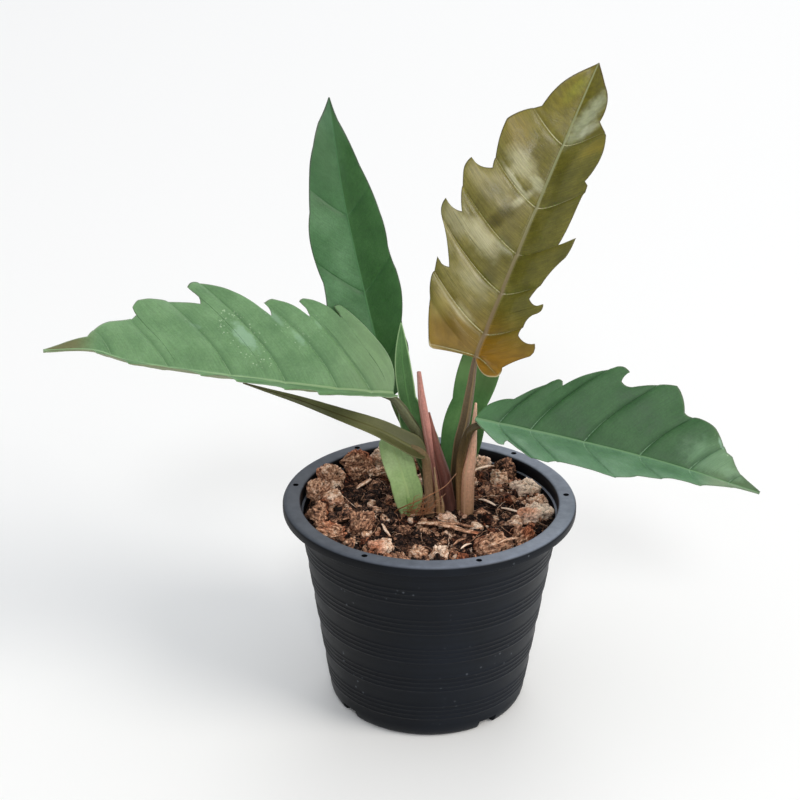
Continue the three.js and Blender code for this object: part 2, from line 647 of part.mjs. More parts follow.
// A husk chip: a block with its corners pushed about, turned and sunk in the surface.
function chip(draw, [x, y, long, wide, high, turn]) {
  const block = new THREE.BoxGeometry(long, wide, high);
  block.deleteAttribute("normal");
  block.deleteAttribute("uv");
  const bare = mergeVertices(block);
  const corner = bare.attributes.position;
  for (let i = 0; i < corner.count; i++) {
    const push = () => lerp(...CHIPS.cut, draw());
    corner.setXYZ(i, corner.getX(i) * push(), corner.getY(i) * push(), corner.getZ(i) * push());
  }
  bare.rotateX(lerp(-CHIPS.tilt, CHIPS.tilt, draw()));
  bare.rotateY(lerp(-CHIPS.tilt, CHIPS.tilt, draw()));
  bare.rotateZ(radians(turn));
  bare.translate(x, y, mixLevel(x, y) + CHIPS.stand * high);
  return solid(bare);
}

function mixBody(stems) {
  const under = MIX.bottom;
  const edge = (z) => innerRadius(z) - MIX.edgeGap;
  const profile = [
    [0, under],
    [edge(under + 4) - 3, under],
    [edge(under + 4), under + 4],
    [edge(MIX.level) - 0.6, MIX.level - 4],
  ];
  for (let ring = MIX.rings; ring >= 0; ring--) {
    profile.push([((edge(MIX.level) - 1) * ring) / MIX.rings, MIX.level]);
  }
  const plug = new THREE.LatheGeometry(profile.map(([r, z]) => new THREE.Vector2(r, z)), MIX.segments);
  plug.rotateX(Math.PI / 2);
  const point = plug.attributes.position;
  for (let i = 0; i < point.count; i++) {
    if (point.getZ(i) > MIX.level - 0.5) point.setZ(i, mixLevel(point.getX(i), point.getY(i)));
  }
  let made = solid(plug);
  const draw = dice(CHIPS.seed);
  for (const place of CHIP_PLACES) made = made.add(chip(draw, place));
  // The chips that lie against the pot's wall are cut off just inside it.
  const room = [[0, under], ...profile.slice(1, 3), [edge(POT.height), POT.height - POT.lipDepth]];
  room.push([edge(POT.height), POT.height + CHIPS.over], [0, POT.height + CHIPS.over]);
  const hollow = new THREE.LatheGeometry(room.map(([r, z]) => new THREE.Vector2(r, z)), MIX.segments);
  made = made.intersect(solid(hollow.rotateX(Math.PI / 2)));
  for (const hole of stems) made = made.subtract(hole);
  return made;
}

// Assembly

const plant = new THREE.Group();
plant.name = "potted_philodendron";
const holes = [];

for (const [name, leaf] of Object.entries({ ...LARGE_LEAVES, ...SLIM_LEAVES })) {
  const petiole = stem(leaf.petiole, leaf.radii, 2 * leaf.petiole.length);
  plant.add(piece(name, blade(leaf).add(petiole), finish(leaf.color, 0.45)));
  holes.push(stemHole(leaf.petiole, leaf.radii));
}
// The pale leaf's blade reaches into the mix, so its slot starts a little below the blade.
const paleSlot = { ...SLIM_LEAVES.pale_leaf };
paleSlot.midrib = [[-9.9, -5.3, 101.6], ...paleSlot.midrib.slice(1)];
holes.push(blade(paleSlot, HOLE_GAP));

for (const [name, { points, radii, color }] of Object.entries(SHEATHS)) {
  plant.add(piece(name, stem(points, radii, 2 * points.length), finish(color, 0.5)));
  holes.push(stemHole(points, radii));
}

const strips = DRY_SHEATH.strips.map(({ points, radii }) => stem(points, radii, 8));
plant.add(piece("dry_sheath", strips[0].add(strips[1]), finish(DRY_SHEATH.color, 0.8)));
holes.push(...DRY_SHEATH.strips.map(({ points, radii }) => stemHole(points, radii)));

const root = stem(AERIAL_ROOT.points, AERIAL_ROOT.radii, 16, 6);
plant.add(piece("aerial_root", root, finish(AERIAL_ROOT.color, 0.7)));
holes.push(stemHole(AERIAL_ROOT.points, AERIAL_ROOT.radii));

plant.add(piece("growing_mix", mixBody(holes), finish(0x6a4a35, 0.95)));
plant.add(piece("pot", potBody(), finish(0x23272d, 0.45)));

export default plant;
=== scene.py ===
"""A potted caramel marble philodendron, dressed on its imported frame.

Lengths in the tables are millimetres in the frame's own axes: +Z up, seen in use from -Y, the origin at the
centre of the pot's underside. Every mesh is written in metres, with its object at the origin.
"""

import math
from functools import partial

import bpy
import numpy as np
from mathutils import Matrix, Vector


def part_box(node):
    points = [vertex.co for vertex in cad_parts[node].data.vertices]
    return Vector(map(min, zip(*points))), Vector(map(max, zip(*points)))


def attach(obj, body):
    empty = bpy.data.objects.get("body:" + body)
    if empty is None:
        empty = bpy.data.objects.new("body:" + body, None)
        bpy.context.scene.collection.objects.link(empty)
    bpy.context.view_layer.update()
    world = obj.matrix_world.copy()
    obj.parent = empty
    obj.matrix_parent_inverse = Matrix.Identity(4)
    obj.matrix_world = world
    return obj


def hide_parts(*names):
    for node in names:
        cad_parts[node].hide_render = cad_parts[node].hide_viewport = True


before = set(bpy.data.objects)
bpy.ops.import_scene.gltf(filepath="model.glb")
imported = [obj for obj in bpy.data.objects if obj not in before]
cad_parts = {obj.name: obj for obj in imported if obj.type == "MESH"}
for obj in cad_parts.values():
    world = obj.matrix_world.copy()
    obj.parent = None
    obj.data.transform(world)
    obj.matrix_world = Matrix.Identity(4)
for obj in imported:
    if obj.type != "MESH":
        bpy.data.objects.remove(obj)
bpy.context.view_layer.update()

bl_info = {
    "name": "Potted caramel marble philodendron",
    "version": (1, 0, 0),
    "blender": (4, 5, 0),
    "location": "3D Viewport > Sidebar > Philodendron",
    "description": "Lobed and waved leaves, sheaths and roots over husk chips in a ringed nursery pot",
    "category": "Add Mesh",
}

MM = 0.001
POT_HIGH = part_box("pot")[1]

# Pot: a 6-inch nursery pot, as its outer wall, its lip and the groups of fine rings on its wall. An edge stays
# sharp from sharp_from degrees on. Holes are cut from one height to another.
POT = {
    "foot_radius": 51.8,
    "shoulder_radius": 66.7,
    "foot_round": 8.7,
    "lip_inner": 66.4,
    "lip_depth": 5.0,
    "lip_skirt": 1.6,
    "wall": 1.8,
    "floor": 3.0,
    "sharp_from": 38,
}
RING_GROUPS = {"first": 16.5, "pitch": 18.25, "count": 5, "offsets": (-4.1, -1.4, 1.4, 4.1), "half": 0.75,
               "height": 0.36}
LIP_HOLES = {"radius": 1.5, "circle": 70.4, "pairs": (-94, 26, 146), "spread": 23, "cut": (106, 114)}
FOOT_NOTCH = {"width": 11.0, "height": 5.5, "depth": 14, "angles": (-53, -143, 37, 127)}
DRAIN = {"radius": 4.0, "circle": 34.0, "count": 8, "cut": (-2, 5)}

# Growing mix: its packed level and slow lumps, and the husk chips that show, as x, y, length, width, height, tone
# and turn. Tone runs from 0, black-brown, through 0.35, brown, and 0.6, orange-brown, to 1, pale tan.
# The last entry of MIX lightens the mix towards the back: painted light over the shade that the leaves cast there
MIX = {"level": 103.6, "bottom": 3.3, "edge_gap": 0.4, "painted_light_at_back": 0.28}
SLOW_LUMPS = {"cell": 9, "seed": 11}
CHIPS = (
    (-26, 54, 12, 11, 19, 0.62, 20), (-38, 46, 15, 13, 16, 0.3, -30), (-52, 28, 15, 13, 14, 0.52, 15),
    (-57, 13, 12, 12, 13, 0.55, 60), (-57, -7, 12, 11, 11, 0.5, -50), (-50, 8, 11, 8, 8, 0.75, 10),
    (-45, -9, 12, 10, 8, 0.3, 35), (-35, -17, 17, 12, 11, 0.5, 78), (-49, -26, 14, 9, 8, 0.62, -25),
    (-26, -41, 14, 11, 9, 0.95, -15), (-40, -36, 7, 6, 6, 0.6, 40), (-28, 22, 8, 6, 6, 0.45, 0),
    (-26, 38, 12, 8, 5, 0.5, 25), (10, -10, 11, 8, 7, 0.9, 5), (4, -47, 11, 7, 7, 0.88, 12),
    (-5, -44, 9, 8, 7, 0.7, 50), (27, -7, 9, 8, 6, 0.6, -35), (31, -37, 18, 13, 10, 0.58, 20),
    (46, -28, 14, 10, 8, 0.55, 30), (54, -6, 17, 15, 10, 1.0, 55), (51, 21, 16, 11, 10, 1.0, 20),
    (48, 9, 9, 7, 3, 0.18, -20), (40, 42, 15, 13, 14, 0.2, 30), (29, 50, 11, 8, 10, 0.9, -10),
    (42, -13, 9, 7, 6, 0.75, 0), (-13, -23, 11, 9, 6, 0.5, -60), (24, 55, 8, 6, 6, 0.7, 0),
    (19, 55, 8, 7, 6, 0.35, 45), (46, 29, 7, 6, 6, 0.9, 10), (16, -51, 9, 6, 6, 0.4, 65),
    (-15, -52, 12, 8, 7, 0.5, -20), (30, -51, 10, 8, 6, 0.6, 30), (58, 8, 9, 8, 7, 0.75, 80),
    (-38, 40, 11, 9, 7, 0.4, -70), (-20, 55, 12, 9, 8, 0.55, 10), (-5, 58, 13, 10, 8, 0.7, 40),
    (8, 57, 11, 8, 7, 0.5, -40), (38, 35, 10, 8, 7, 0.7, 15), (5, 46, 9, 8, 6, 0.3, 70),
    (-12, 43, 10, 7, 6, 0.8, -15), (20, 40, 10, 9, 7, 0.62, 25), (32, 20, 9, 8, 6, 0.42, -50),
)

# Damp patches of dark peat, as x, y and reach
DAMP = ((-32, 22, 15), (-17, -30, 12), (30, 6, 11), (34, 40, 7), (-2, -33, 6), (-44, 30, 6))

# Split slivers of bark and twig on the mix, as start, end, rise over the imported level, width, depth and tone
SLIVERS = (
    ((-6, -19), (24, -28), 4.2, 3.4, 2.0, 0.62), ((4, -21), (22, -24), 5.0, 1.6, 1.2, 0.42),
    ((37, 0), (46, -4), 3.6, 1.3, 1.1, 1.0), ((45, -3), (50, -3), 3.6, 0.8, 0.7, 0.95),
    ((18, -32), (11, -42), 4.4, 1.4, 1.1, 0.5), ((20, -38), (15, -46), 4.6, 1.2, 0.8, 0.98),
    ((-24, -20), (-20, -32), 3.2, 1.5, 1.1, 0.85), ((-44, -16), (-30, -13), 4.4, 2.2, 1.4, 0.4),
    ((-24, 40), (-14, 30), 3.0, 2.0, 1.2, 0.75), ((24, 36), (36, 44), 4.0, 1.8, 1.2, 0.9),
    ((44, -36), (33, -42), 5.0, 1.5, 1.0, 0.7), ((26, 8), (34, 2), 3.4, 1.6, 1.0, 0.9),
    ((-38, 20), (-30, 28), 3.4, 2.4, 1.4, 0.66), ((30, 14), (38, 20), 3.4, 1.3, 0.9, 0.2),
)

# How every blade is built: how its rows sweep out along the veins, how evenly its margins share them out, the
# radius of its soft fold, the half widths at which its curl and quilting are full, and the lag of its waves.
BUILD = {"sweep": 1.15, "even_share": 0.05, "soft_fold": 3.0, "curl_at": 35.0, "quilt_at": 12.0, "side_lag": 7.0}
# Its small relief: half widths of a side vein's valley and of the sharp line in it, height and half width of the
# ridge under the vein, and the share by which the midrib narrows to the tip
RELIEF = {"valley": 2.2, "line": 0.7, "ridge": 0.35, "ridge_half": 1.0, "rib_narrows": 0.72}
BLADE_THICKNESS = 0.6

# The four large leaves. A margin is a run of arcs [x, w, bulge] on the flat leaf, x along the midrib and w out
# from it. Veins are the places on the midrib that the side veins leave from.
LARGE_LEAVES = {
    "leaf_left": {
        "petiole": [[3.6, 6.2, 88], [3.5, 6.2, 106], [2.4, 6.2, 113], [0.8, 6, 124.5], [-1.4, 5, 133.4],
            [-5.1, 3, 144.4], [-10.2, 0, 154.7], [-18.8, -3.8, 168.6], [-24.5, -5.2, 171.6]],
        "radii": [3.3, 3.2, 3.1, 3, 2.9, 2.7, 1.4],
        "midrib": [[-18.6, -4, 171.2], [-46, -9, 175.7], [-75.4, -12, 180.7], [-130, -18, 190.8],
            [-147, -20.5, 195], [-163, -22.6, 201.2], [-186.4, -25, 201.9]],
        "face": (-90, 77), "fold": ((35, 39), (33, 12)), "curl": (2.3, 1.5), "vein_angle": 50,
        "veins": (11, 28, 54, 81, 112, 140), "quilt": 1.5, "swell": (0.55, 1.1),
        "wave": 0.6, "wave_length": 44, "rib": 1.9, "groove": 0.6, "sweep": 1.3, "rib_half": 1.6,
        "left": [[0, 0.5], [4, 20, 0.12], [10, 27.5, 0.1], [13, 25, -0.1], [21.7, 33.5, 0.05], [37, 39, 0.03],
            [41.2, 42.9, 0.1], [42.7, 37.6, -0.1], [56.4, 39.1, 0.06], [82.1, 33.5, 0.03], [95.8, 21.7, -0.03],
            [105.2, 16.1, -0.08], [117.6, 19.4, -0.06], [128, 27, 0.03], [137, 27.5, 0.12], [144.4, 20.5, 0.05],
            [149.8, 5.3, 0], [161, 3.4, 0.02], [172.6, 0.4, 0.02]],
        "right": [[0, 0.5], [5.1, 25.7, 0.1], [26.9, 48.6, 0.06], [31.8, 47.6, 0.2], [27.3, 41.2, -0.1],
            [48, 52.5, 0.08], [50.4, 50.8, 0.2], [44.8, 40.6, -0.12], [63.5, 51.3, 0.07], [67.6, 48.3, 0.15],
            [63.6, 39.2, -0.12], [101, 58.3, 0.07], [106.3, 53.4, 0.2], [99.1, 43, -0.15], [130.4, 40, 0.05],
            [134.8, 35.1, 0.15], [130.6, 31.1, -0.14], [144.3, 19.8, -0.04], [152.3, 8.4, 0.05], [162.1, 5.8, 0.02],
            [172.6, 0.4, 0.02]],
    },
    "leaf_back": {
        "petiole": [[0, 15, 88], [0.2, 15.2, 106], [-2.6, 18, 118.6], [-9.5, 22.6, 135.7], [-15, 22.8, 147],
            [-19, 22.4, 157.5], [-22.6, 25.6, 167.5]],
        "radii": [2.4, 2.3, 2.2, 2.1, 2, 1.9, 1],
        "midrib": [[-19.2, 22, 158.8], [-24, 26.5, 173], [-30.6, 33, 197.5], [-44.3, 47, 257.4],
            [-51.5, 58, 305.2]],
        "face": (-90, 12), "fold": ((20, 20), (20, 20)), "curl": (1, 1), "vein_angle": 45,
        "veins": (18, 55, 95), "quilt": 1.1, "swell": (0.7, 0.9), "wave": 1, "wave_length": 50, "rib": 1.3,
        "groove": 0.5, "rib_half": 0.6,
        "left": [[0, 0.5], [6, 11, 0.1], [28, 19, 0.06], [52.9, 21.2, 0.02], [65, 20.2, -0.02], [84.5, 22.1, 0.03],
            [100.6, 19.1, 0.04], [118, 16, 0.01], [132, 11.7, 0.03], [143, 7.5, 0.02], [154.5, 0.4, -0.02]],
        "right": [[0, 0.5], [5.1, 8.5, 0.08], [20.1, 15.8, 0.05], [26, 16.6, 0.05], [37.4, 16.4, -0.04],
            [52.6, 20.1, 0.03], [64.2, 19.8, 0.02], [76.5, 18.3, -0.03], [93.9, 17.8, 0.04], [119.2, 11.5, 0.03],
            [142.8, 3.1, 0.02], [154.5, 0.4, -0.02]],
    },
    "leaf_caramel": {
        "petiole": [[13.5, 11.3, 88], [13.5, 11.3, 106], [13.6, 11.6, 116], [14.2, 12, 126.2], [15.4, 12.4, 138],
            [17.8, 13, 149], [20.6, 13.8, 168.5], [22.5, 15, 182.5], [24.7, 17.1, 188.5]],
        "radii": [2.9, 2.9, 2.9, 2.8, 2.7, 2.4, 1.8, 0.9],
        "midrib": [[22.4, 14, 183.3], [45.8, 31, 240], [71, 54, 296], [82.6, 62, 322.3]],
        "face": (-118, 20), "fold": ((28, 24), (28, 24)), "curl": (2, 2), "vein_angle": 60,
        "veins": (1, 13, 35, 56, 81, 115), "quilt": 2.6, "swell": (1.0, 0.55),
        "wave": 0.8, "wave_length": 40, "rib": 2.0, "groove": 0.9, "sweep": 1.35, "rib_half": 1.6,
        "left": [[0, 0.5], [-3.5, 21.9, -0.02], [-0.9, 26.3, 0.2], [40.3, 37.1, 0.05], [37.7, 29.3, -0.16],
            [59.9, 45, -0.05], [68.4, 45, 0.15], [65.2, 34, -0.12], [83.4, 41.6, 0.03], [91.9, 40.7, 0.12],
            [91, 28.6, -0.16], [116.1, 31, 0.05], [129, 18.4, 0.06], [142.5, 13, 0.03], [159.1, 0.4, 0.03]],
        "right": [[0, 0.5], [-4.6, 8, 0.06], [-4.2, 18.8, 0.1], [-0.8, 22.2, 0.16], [1.8, 21.7, 0.1],
            [12.8, 36.2, -0.03], [19.8, 36.4, 0.25], [20, 24.4, -0.14], [34, 30.3, -0.2], [38.8, 31.1, 0.2],
            [38.4, 21.2, -0.2], [62.5, 33.4, -0.05], [72.9, 33.5, 0.1], [64, 28, -0.03], [62.6, 22.8, -0.3],
            [98.2, 27.2, 0.04], [99.9, 24.6, 0], [125.2, 25.1, 0.13], [131.3, 17.6, 0], [149.6, 10.5, 0.16],
            [159.1, 0.4, 0]],
    },
    "leaf_right": {
        "petiole": [[16, 0.2, 88], [16, 0.1, 108], [15.5, -0.2, 116.4], [15.3, -0.6, 126.8], [16, -1.8, 136.3],
            [18, -4.4, 146.6], [20.4, -7.2, 153.6], [24.8, -8.4, 156.4], [31, -9.6, 156.6]],
        "radii": [2, 2, 2, 2.1, 2.4, 2.2, 0.9],
        "midrib": [[22.1, -8, 159.7], [66.5, -18, 154], [116, -30, 146], [160.2, -38, 134.2]],
        "face": (-90, 61), "fold": ((32, 28), (32, 28)), "curl": (1.5, 1.5), "vein_angle": 52,
        "veins": (12, 28, 55, 83, 108, 128), "quilt": 1.5, "swell": (0.55, 1.1),
        "wave": 0.8, "wave_length": 42, "rib": 1.9, "groove": 0.5, "sweep": 1.3, "rib_half": 0.95,
        "left": [[0, 0.5], [9.8, 12.3, 0.12], [16.7, 14.2, 0.05], [34.7, 27.4, 0.03], [38.3, 27.3, 0.2],
            [38.7, 25.4, 0], [60.3, 41.3, 0.04], [68.6, 41, 0.23], [65.8, 35, -0.1], [71.6, 33.6, -0.15],
            [91.7, 39.1, 0.05], [98.5, 28, 0.08], [101.5, 27, -0.1], [114.6, 23.6, 0.08], [122.9, 14.1, 0.03],
            [126.3, 13.1, 0], [136.3, 4.6, -0.04], [143.9, 0.4, 0]],
        "right": [[0, 0.5], [15.9, 24.7, 0.03], [18.8, 24.2, 0.2], [19.8, 17.6, -0.1], [31.9, 29.9, 0.02],
            [41.9, 31, 0.1], [44.9, 26.4, -0.05], [70.6, 29.5, 0.03], [84.7, 21.3, 0.1], [109.8, 12.3, 0.03],
            [131.1, 3, 0], [143.9, 0.4, 0]],
    },
}

# The slim young leaves, each symmetric about its midrib: half is its half width at its widest place along it.
SLIM_LEAVES = {
    "young_leaf_back": {
        "petiole": [[9.6, 17.6, 88], [10.2, 17.8, 105], [13, 18.8, 112], [15, 21, 121]],
        "radii": [2.6, 2.6, 2, 1.2],
        "midrib": [[12.8, 18.4, 111], [14.6, 20.8, 119.5], [18.2, 25.8, 143.7], [25.4, 30, 171.2], [31, 33, 191],
            [33.8, 35, 205]],
        "half": 9.3, "widest": 0.45, "taper": 0.1, "face": (-90, 8), "fold": 14,
    },
    "young_leaf_centre": {
        "petiole": [[4.6, 12.3, 88], [4.5, 12.4, 106], [2.8, 12.2, 117], [0.6, 11.6, 125]],
        "radii": [1.6, 1.6, 1.4, 1],
        "midrib": [[2.6, 12.4, 115], [-2, 11, 135.8], [-9, 9.5, 153], [-12.8, 8.5, 172.3], [-14.4, 8.5, 187],
            [-15, 9, 204]],
        "half": 4.4, "widest": 0.56, "taper": 0.04, "face": (-90, 5), "fold": 14,
    },
    "strap_leaf": {
        "petiole": [[0.3, -3.9, 88], [0.3, -4, 107], [-0.4, -4.4, 118], [-1.4, -5.2, 129], [-2.6, -6.8, 137.4],
            [-6.5, -8, 142.4], [-13, -8.5, 145.6]],
        "radii": [2.6, 2.5, 2.4, 2.3, 2.2, 2, 1],
        "midrib": [[-2.6, -8, 139.6], [-12.2, -9.3, 146], [-25.2, -8.5, 153.2], [-44.2, -5, 159.4],
            [-65.4, 2, 164.6], [-83.2, 7, 168.3], [-94.4, 10, 170.7]],
        "half": 7.6, "widest": 0.08, "taper": 0, "face": (-90, 62), "fold": 28,
    },
    "pale_leaf": {
        "petiole": [[-9.8, -4.6, 88], [-9.9, -5.2, 107], [-10.4, -5.6, 111], [-10.9, -6, 115]],
        "radii": [2.2, 2.2, 1.8, 1],
        "midrib": [[-10, -5.4, 102.5], [-11.2, -6.2, 117.9], [-13.4, -5.8, 125.7], [-16.2, -3.2, 134.4],
            [-19, 0.8, 139.6], [-22.4, 7, 142], [-25, 14.5, 141.5]],
        "half": 7.2, "widest": 0.42, "taper": 0.1, "face": (-84, 12), "fold": 10,
    },
}
SLIM_BUILD = {"curl": (0, 0), "vein_angle": 80, "veins": (), "quilt": 0, "wave": 0, "wave_length": 40, "rib": 0.6,
              "groove": 0, "rib_half": 0.8, "swell": (1, 1)}

# Pointed sheaths round the new growth, the dry strips of an old sheath and the loose root
SHEATHS = {
    "cataphyll_pink": {
        "points": [[5.8, 1.5, 88], [5.6, 1.5, 108], [3.4, 1.2, 121.7], [1, 0.8, 135.6],
                   [-2.5, 0, 155.2], [-4.5, -0.6, 167.8], [-6, -1, 181.8]],
        "radii": [2, 2.1, 2.5, 2.6, 2.5, 2.1, 1.1], "slot": "pink_sheath",
    },
    "cataphyll_maroon": {
        "points": [[10.2, 3, 88], [10, 2.6, 106], [8.8, 2, 112], [6.9, 1, 124],
                   [4.2, 0.3, 134.5], [1.6, 0.4, 146], [-0.6, 1, 159]],
        "radii": [3.6, 4, 4.2, 4, 3.2, 2, 0.4], "slot": "maroon_sheath",
    },
    "cataphyll_peach": {
        "points": [[19.4, -1.6, 88], [19.4, -2, 107], [19.4, -2.4, 115], [19.6, -2.4, 126],
                   [20.9, -0.8, 137], [22, 0.4, 151], [22.7, 0.8, 164.4]],
        "radii": [3.3, 3.4, 3.6, 3.4, 2.6, 1.6, 0.6], "slot": "peach_sheath",
    },
}
DRY_STRIPS = (
    {"points": [[4.8, -5.6, 88], [4.8, -5.6, 106], [4.2, -5.8, 113], [3.1, -5.4, 123], [2.2, -4.2, 131]],
     "radii": [1.9, 1.8, 1.3, 0.9, 0.3]},
    {"points": [[5.4, -6, 88], [6.4, -6.4, 104], [6.8, -6.6, 110], [6, -6.6, 116]],
     "radii": [1.6, 1.6, 1.1, 0.3]},
)
AERIAL_ROOT = {
    "points": [[-18.5, -4, 96], [-18, -6.5, 106], [-12.5, -12.5, 113], [-2.5, -14.4, 119],
               [7.6, -11.5, 124], [13.4, -5, 128]],
    "radii": [0.36, 0.2],
}
# Dried strands over the foot of the pale leaf, each from a start to an end in mm
DRIED_STRANDS = {"count": 26, "from": ((-14, -13, 106), (0, -8, 112)), "to": ((-6, -15, 108), (8, -9, 121)),
                 "radius": 0.22}
# How petioles, sheaths and the root are built: rings along each, faces round it, how far a keel stands out, and
# the depth and width of a petiole's channel
STEMS = {"steps": 90, "sheath_sides": 32, "strip_sides": 20, "root_sides": 10, "strand_sides": 6,
         "sheath_keel": 0.22, "strip_keel": 0.3, "large_channel": (0.3, 0.55), "slim_channel": (0.15, 0.5)}

# Lumps on the mix: how far from its middle they are scattered, how they are broken, their finish and how dark the
# painted shade in the creases between their granules goes. The large chips stand where the table says.
LUMPS = {
    "chips": {"shape": {"seed": 31, "rows": 32, "columns": 46, "facets": 7, "bite": 1.2, "grain": 2.0},
              "finish": "coconut_husk", "painted_crease_shade": 0.88},
    "small_chips": {"place": {"reach": 57, "seed": 35},
                    "shape": {"seed": 36, "rows": 15, "columns": 22, "facets": 6, "bite": 1.1, "grain": 1.8},
                    "finish": "small_coconut_husk", "painted_crease_shade": 0.88},
    "crumbs": {"place": {"reach": 60.5, "seed": 41},
               "shape": {"seed": 43, "rows": 4, "columns": 8, "facets": 5, "bite": 0.5, "grain": 0.0},
               "finish": "mix_crumb", "painted_crease_shade": 0.6},
}
# Loose fibres: how far from the middle they start and may end, their length and radius, and their points
FIBRES = {"place": {"reach": 56, "seed": 51}, "within": 61.5, "length": (7.0, 22.0), "radius": (0.07, 0.2),
          "steps": 12, "sides": 5}

# Skins of the petioles and sheaths: name, colours from the foot to the top, streak colour, roughness and the
# colour of the channel's edges
PETIOLE_SKINS = {
    "leaf_left": ("petiole_olive_grey", ("#5f5038", "#615c3e", "#585a3c", "#5c6044"), "#42432e", 0.5, "#6c7052"),
    "leaf_back": ("petiole_dark_olive", ("#4c4a2c", "#4a502f", "#47532f", "#44602f"), "#34391f", 0.45, None),
    "leaf_caramel": ("petiole_olive_brown", ("#403220", "#4c3f28", "#6c5c40", "#75604c"), "#463a24", 0.45, "#84704e"),
    "leaf_right": ("petiole_tan_olive", ("#a08055", "#94714a", "#5a4a2c", "#4a4126"), "#3f3620", 0.42, None),
    "young_leaf_back": ("petiole_green", ("#5d6a34", "#4d7034", "#477838", "#4b7f3e"), "#39602b", 0.45, None),
    "young_leaf_centre": ("petiole_green_soft", ("#61703c", "#55763c", "#4f7c42", "#548046"), "#40662f", 0.45, None),
    "strap_leaf": ("petiole_tan_dry", ("#8f7055", "#9c7c60", "#85694a", "#504a26"), "#5c4630", 0.6, None),
    "pale_leaf": ("petiole_pale_green", ("#7c8a4c", "#86a05c", "#88a862", "#8fb06c"), "#6c7f42", 0.5, None),
}
SHEATH_SKINS = {
    "cataphyll_pink": ("sheath_salmon", ("#6e4639", "#8f5c4e", "#bd8478", "#c4897e"), "#94584c", 0.5, "#c99488"),
    "cataphyll_maroon": ("sheath_maroon", ("#7c5a53", "#5e3d35", "#774438", "#8e5648"), "#40241f", 0.45, "#80584c"),
    "cataphyll_peach": ("sheath_peach", ("#75663f", "#cf9f7e", "#e9b294", "#e8bda2"), "#b08462", 0.5, "#d2a886"),
    "dry_sheath": ("dried_sheath", ("#8d6a42", "#a57e55", "#b08c66", "#c0a27e"), "#6b4a2c", 0.8, None),
    "aerial_root": ("root_bark", ("#8a5a3a", "#9c6742", "#ad7650", "#b88a6c"), "#6a4228", 0.7, None),
}

# The camera fitted to the photograph, whose frame is 800 by 800 pixels: its place in mm, the focal length in
# those pixels, and its tilt and roll in degrees
CAMERA = {"place": (-15.3, -824.0, 527.0), "focal_px": 1800.0, "frame_px": 800.0, "tilt_down": 23.65, "roll": 0.31}

# Name, place and aim in metres, size in metres, power in watts and colour
STUDIO_LIGHTS = (
    ("key", (4.4, -2.4, 4.0), (0.0, 0.0, 0.15), 3.6, 195.0, "#fffaf2"),
    ("front", (0.0, -3.6, 3.0), (0.0, 0.0, 0.2), 0.9, 42.0, "#ffffff"),
    ("back", (0.3, 3.3, 3.0), (0.0, 0.0, 0.2), 3.0, 34.0, "#ffffff"),
)


# Numbers and noise

def linear(hex_colour):
    """An sRGB hex colour as linear red, green, blue and alpha."""
    channels = [int(hex_colour[i:i + 2], 16) / 255 for i in (1, 3, 5)]
    return tuple(c / 12.92 if c <= 0.04045 else ((c + 0.055) / 1.055) ** 2.4 for c in channels) + (1.0,)


def cell_value(cells, seed):
    """A repeatable value from 0 to 1 for each whole-number cell: its three numbers multiplied and folded."""
    mixed = cells[..., 0] * 73856093 ^ cells[..., 1] * 19349663 ^ cells[..., 2] * 83492791 ^ seed * 9781
    mixed = (mixed & 0xFFFFFFFF) ^ ((mixed & 0xFFFFFFFF) >> 13)
    mixed = (mixed * 1274126177) & 0xFFFFFFFF
    return (mixed ^ (mixed >> 16)) / 4294967295.0


def noise(points, cell, seed=0):
    """Smooth noise from -1 to 1: each corner of a cube of side cell has its own value, and between the corners
    the value is blended along each axis by 3t^2 - 2t^3."""
    scaled = np.asarray(points, float) / cell
    base = np.floor(scaled).astype(np.int64)
    part = scaled - base
    part = part * part * (3 - 2 * part)
    total = 0
    for corner in np.ndindex(2, 2, 2):
        weight = np.prod(np.where(corner, part, 1 - part), axis=-1)
        total = total + weight * cell_value(base + np.array(corner), seed)
    return 2 * total - 1


def rough(points, cell, octaves, seed=0):
    """Layers of noise, each half as coarse and half as high as the last."""
    return sum(noise(points, cell / 2**k, seed + k) / 2**k for k in range(octaves))


def unit(vectors):
    """Vectors shortened or lengthened to 1."""
    return vectors / np.maximum(np.linalg.norm(vectors, axis=-1, keepdims=True), 1e-12)


def smooth_line(points, samples=120):
    """A fine polyline through points, with its length run up to each of its points: cubic pieces whose
    tangents weigh each chord by the square root of its length."""
    knots = np.asarray(points, float)
    knots = np.vstack([2 * knots[0] - knots[1], knots, 2 * knots[-1] - knots[-2]])
    step = np.maximum(np.linalg.norm(np.diff(knots, axis=0), axis=1) ** 0.5, 1e-4)
    t = np.linspace(0, 1, samples, endpoint=False)[:, None]
    pieces = []
    for i in range(1, len(knots) - 2):
        before, here, after = step[i - 1:i + 2]
        p0, p1, p2, p3 = knots[i - 1:i + 3]
        leave = here * ((p1 - p0) / before - (p2 - p0) / (before + here) + (p2 - p1) / here)
        arrive = here * ((p2 - p1) / here - (p3 - p1) / (here + after) + (p3 - p2) / after)
        pieces.append((2 * t**3 - 3 * t**2 + 1) * p1 + (t**3 - 2 * t**2 + t) * leave
                      + (3 * t**2 - 2 * t**3) * p2 + (t**3 - t**2) * arrive)
    line = np.vstack(pieces + [knots[-2:-1]])
    run = np.concatenate([[0], np.cumsum(np.linalg.norm(np.diff(line, axis=0), axis=1))])
    return line, run


def on_line(line, run, at):
    """Points of a polyline at lengths along it, carried straight on past its ends."""
    inside = np.clip(at, 0, run[-1])
    point = np.stack([np.interp(inside, run, line[:, k]) for k in range(3)], -1)
    return point + (at - inside)[..., None] * heading(line, run, inside)


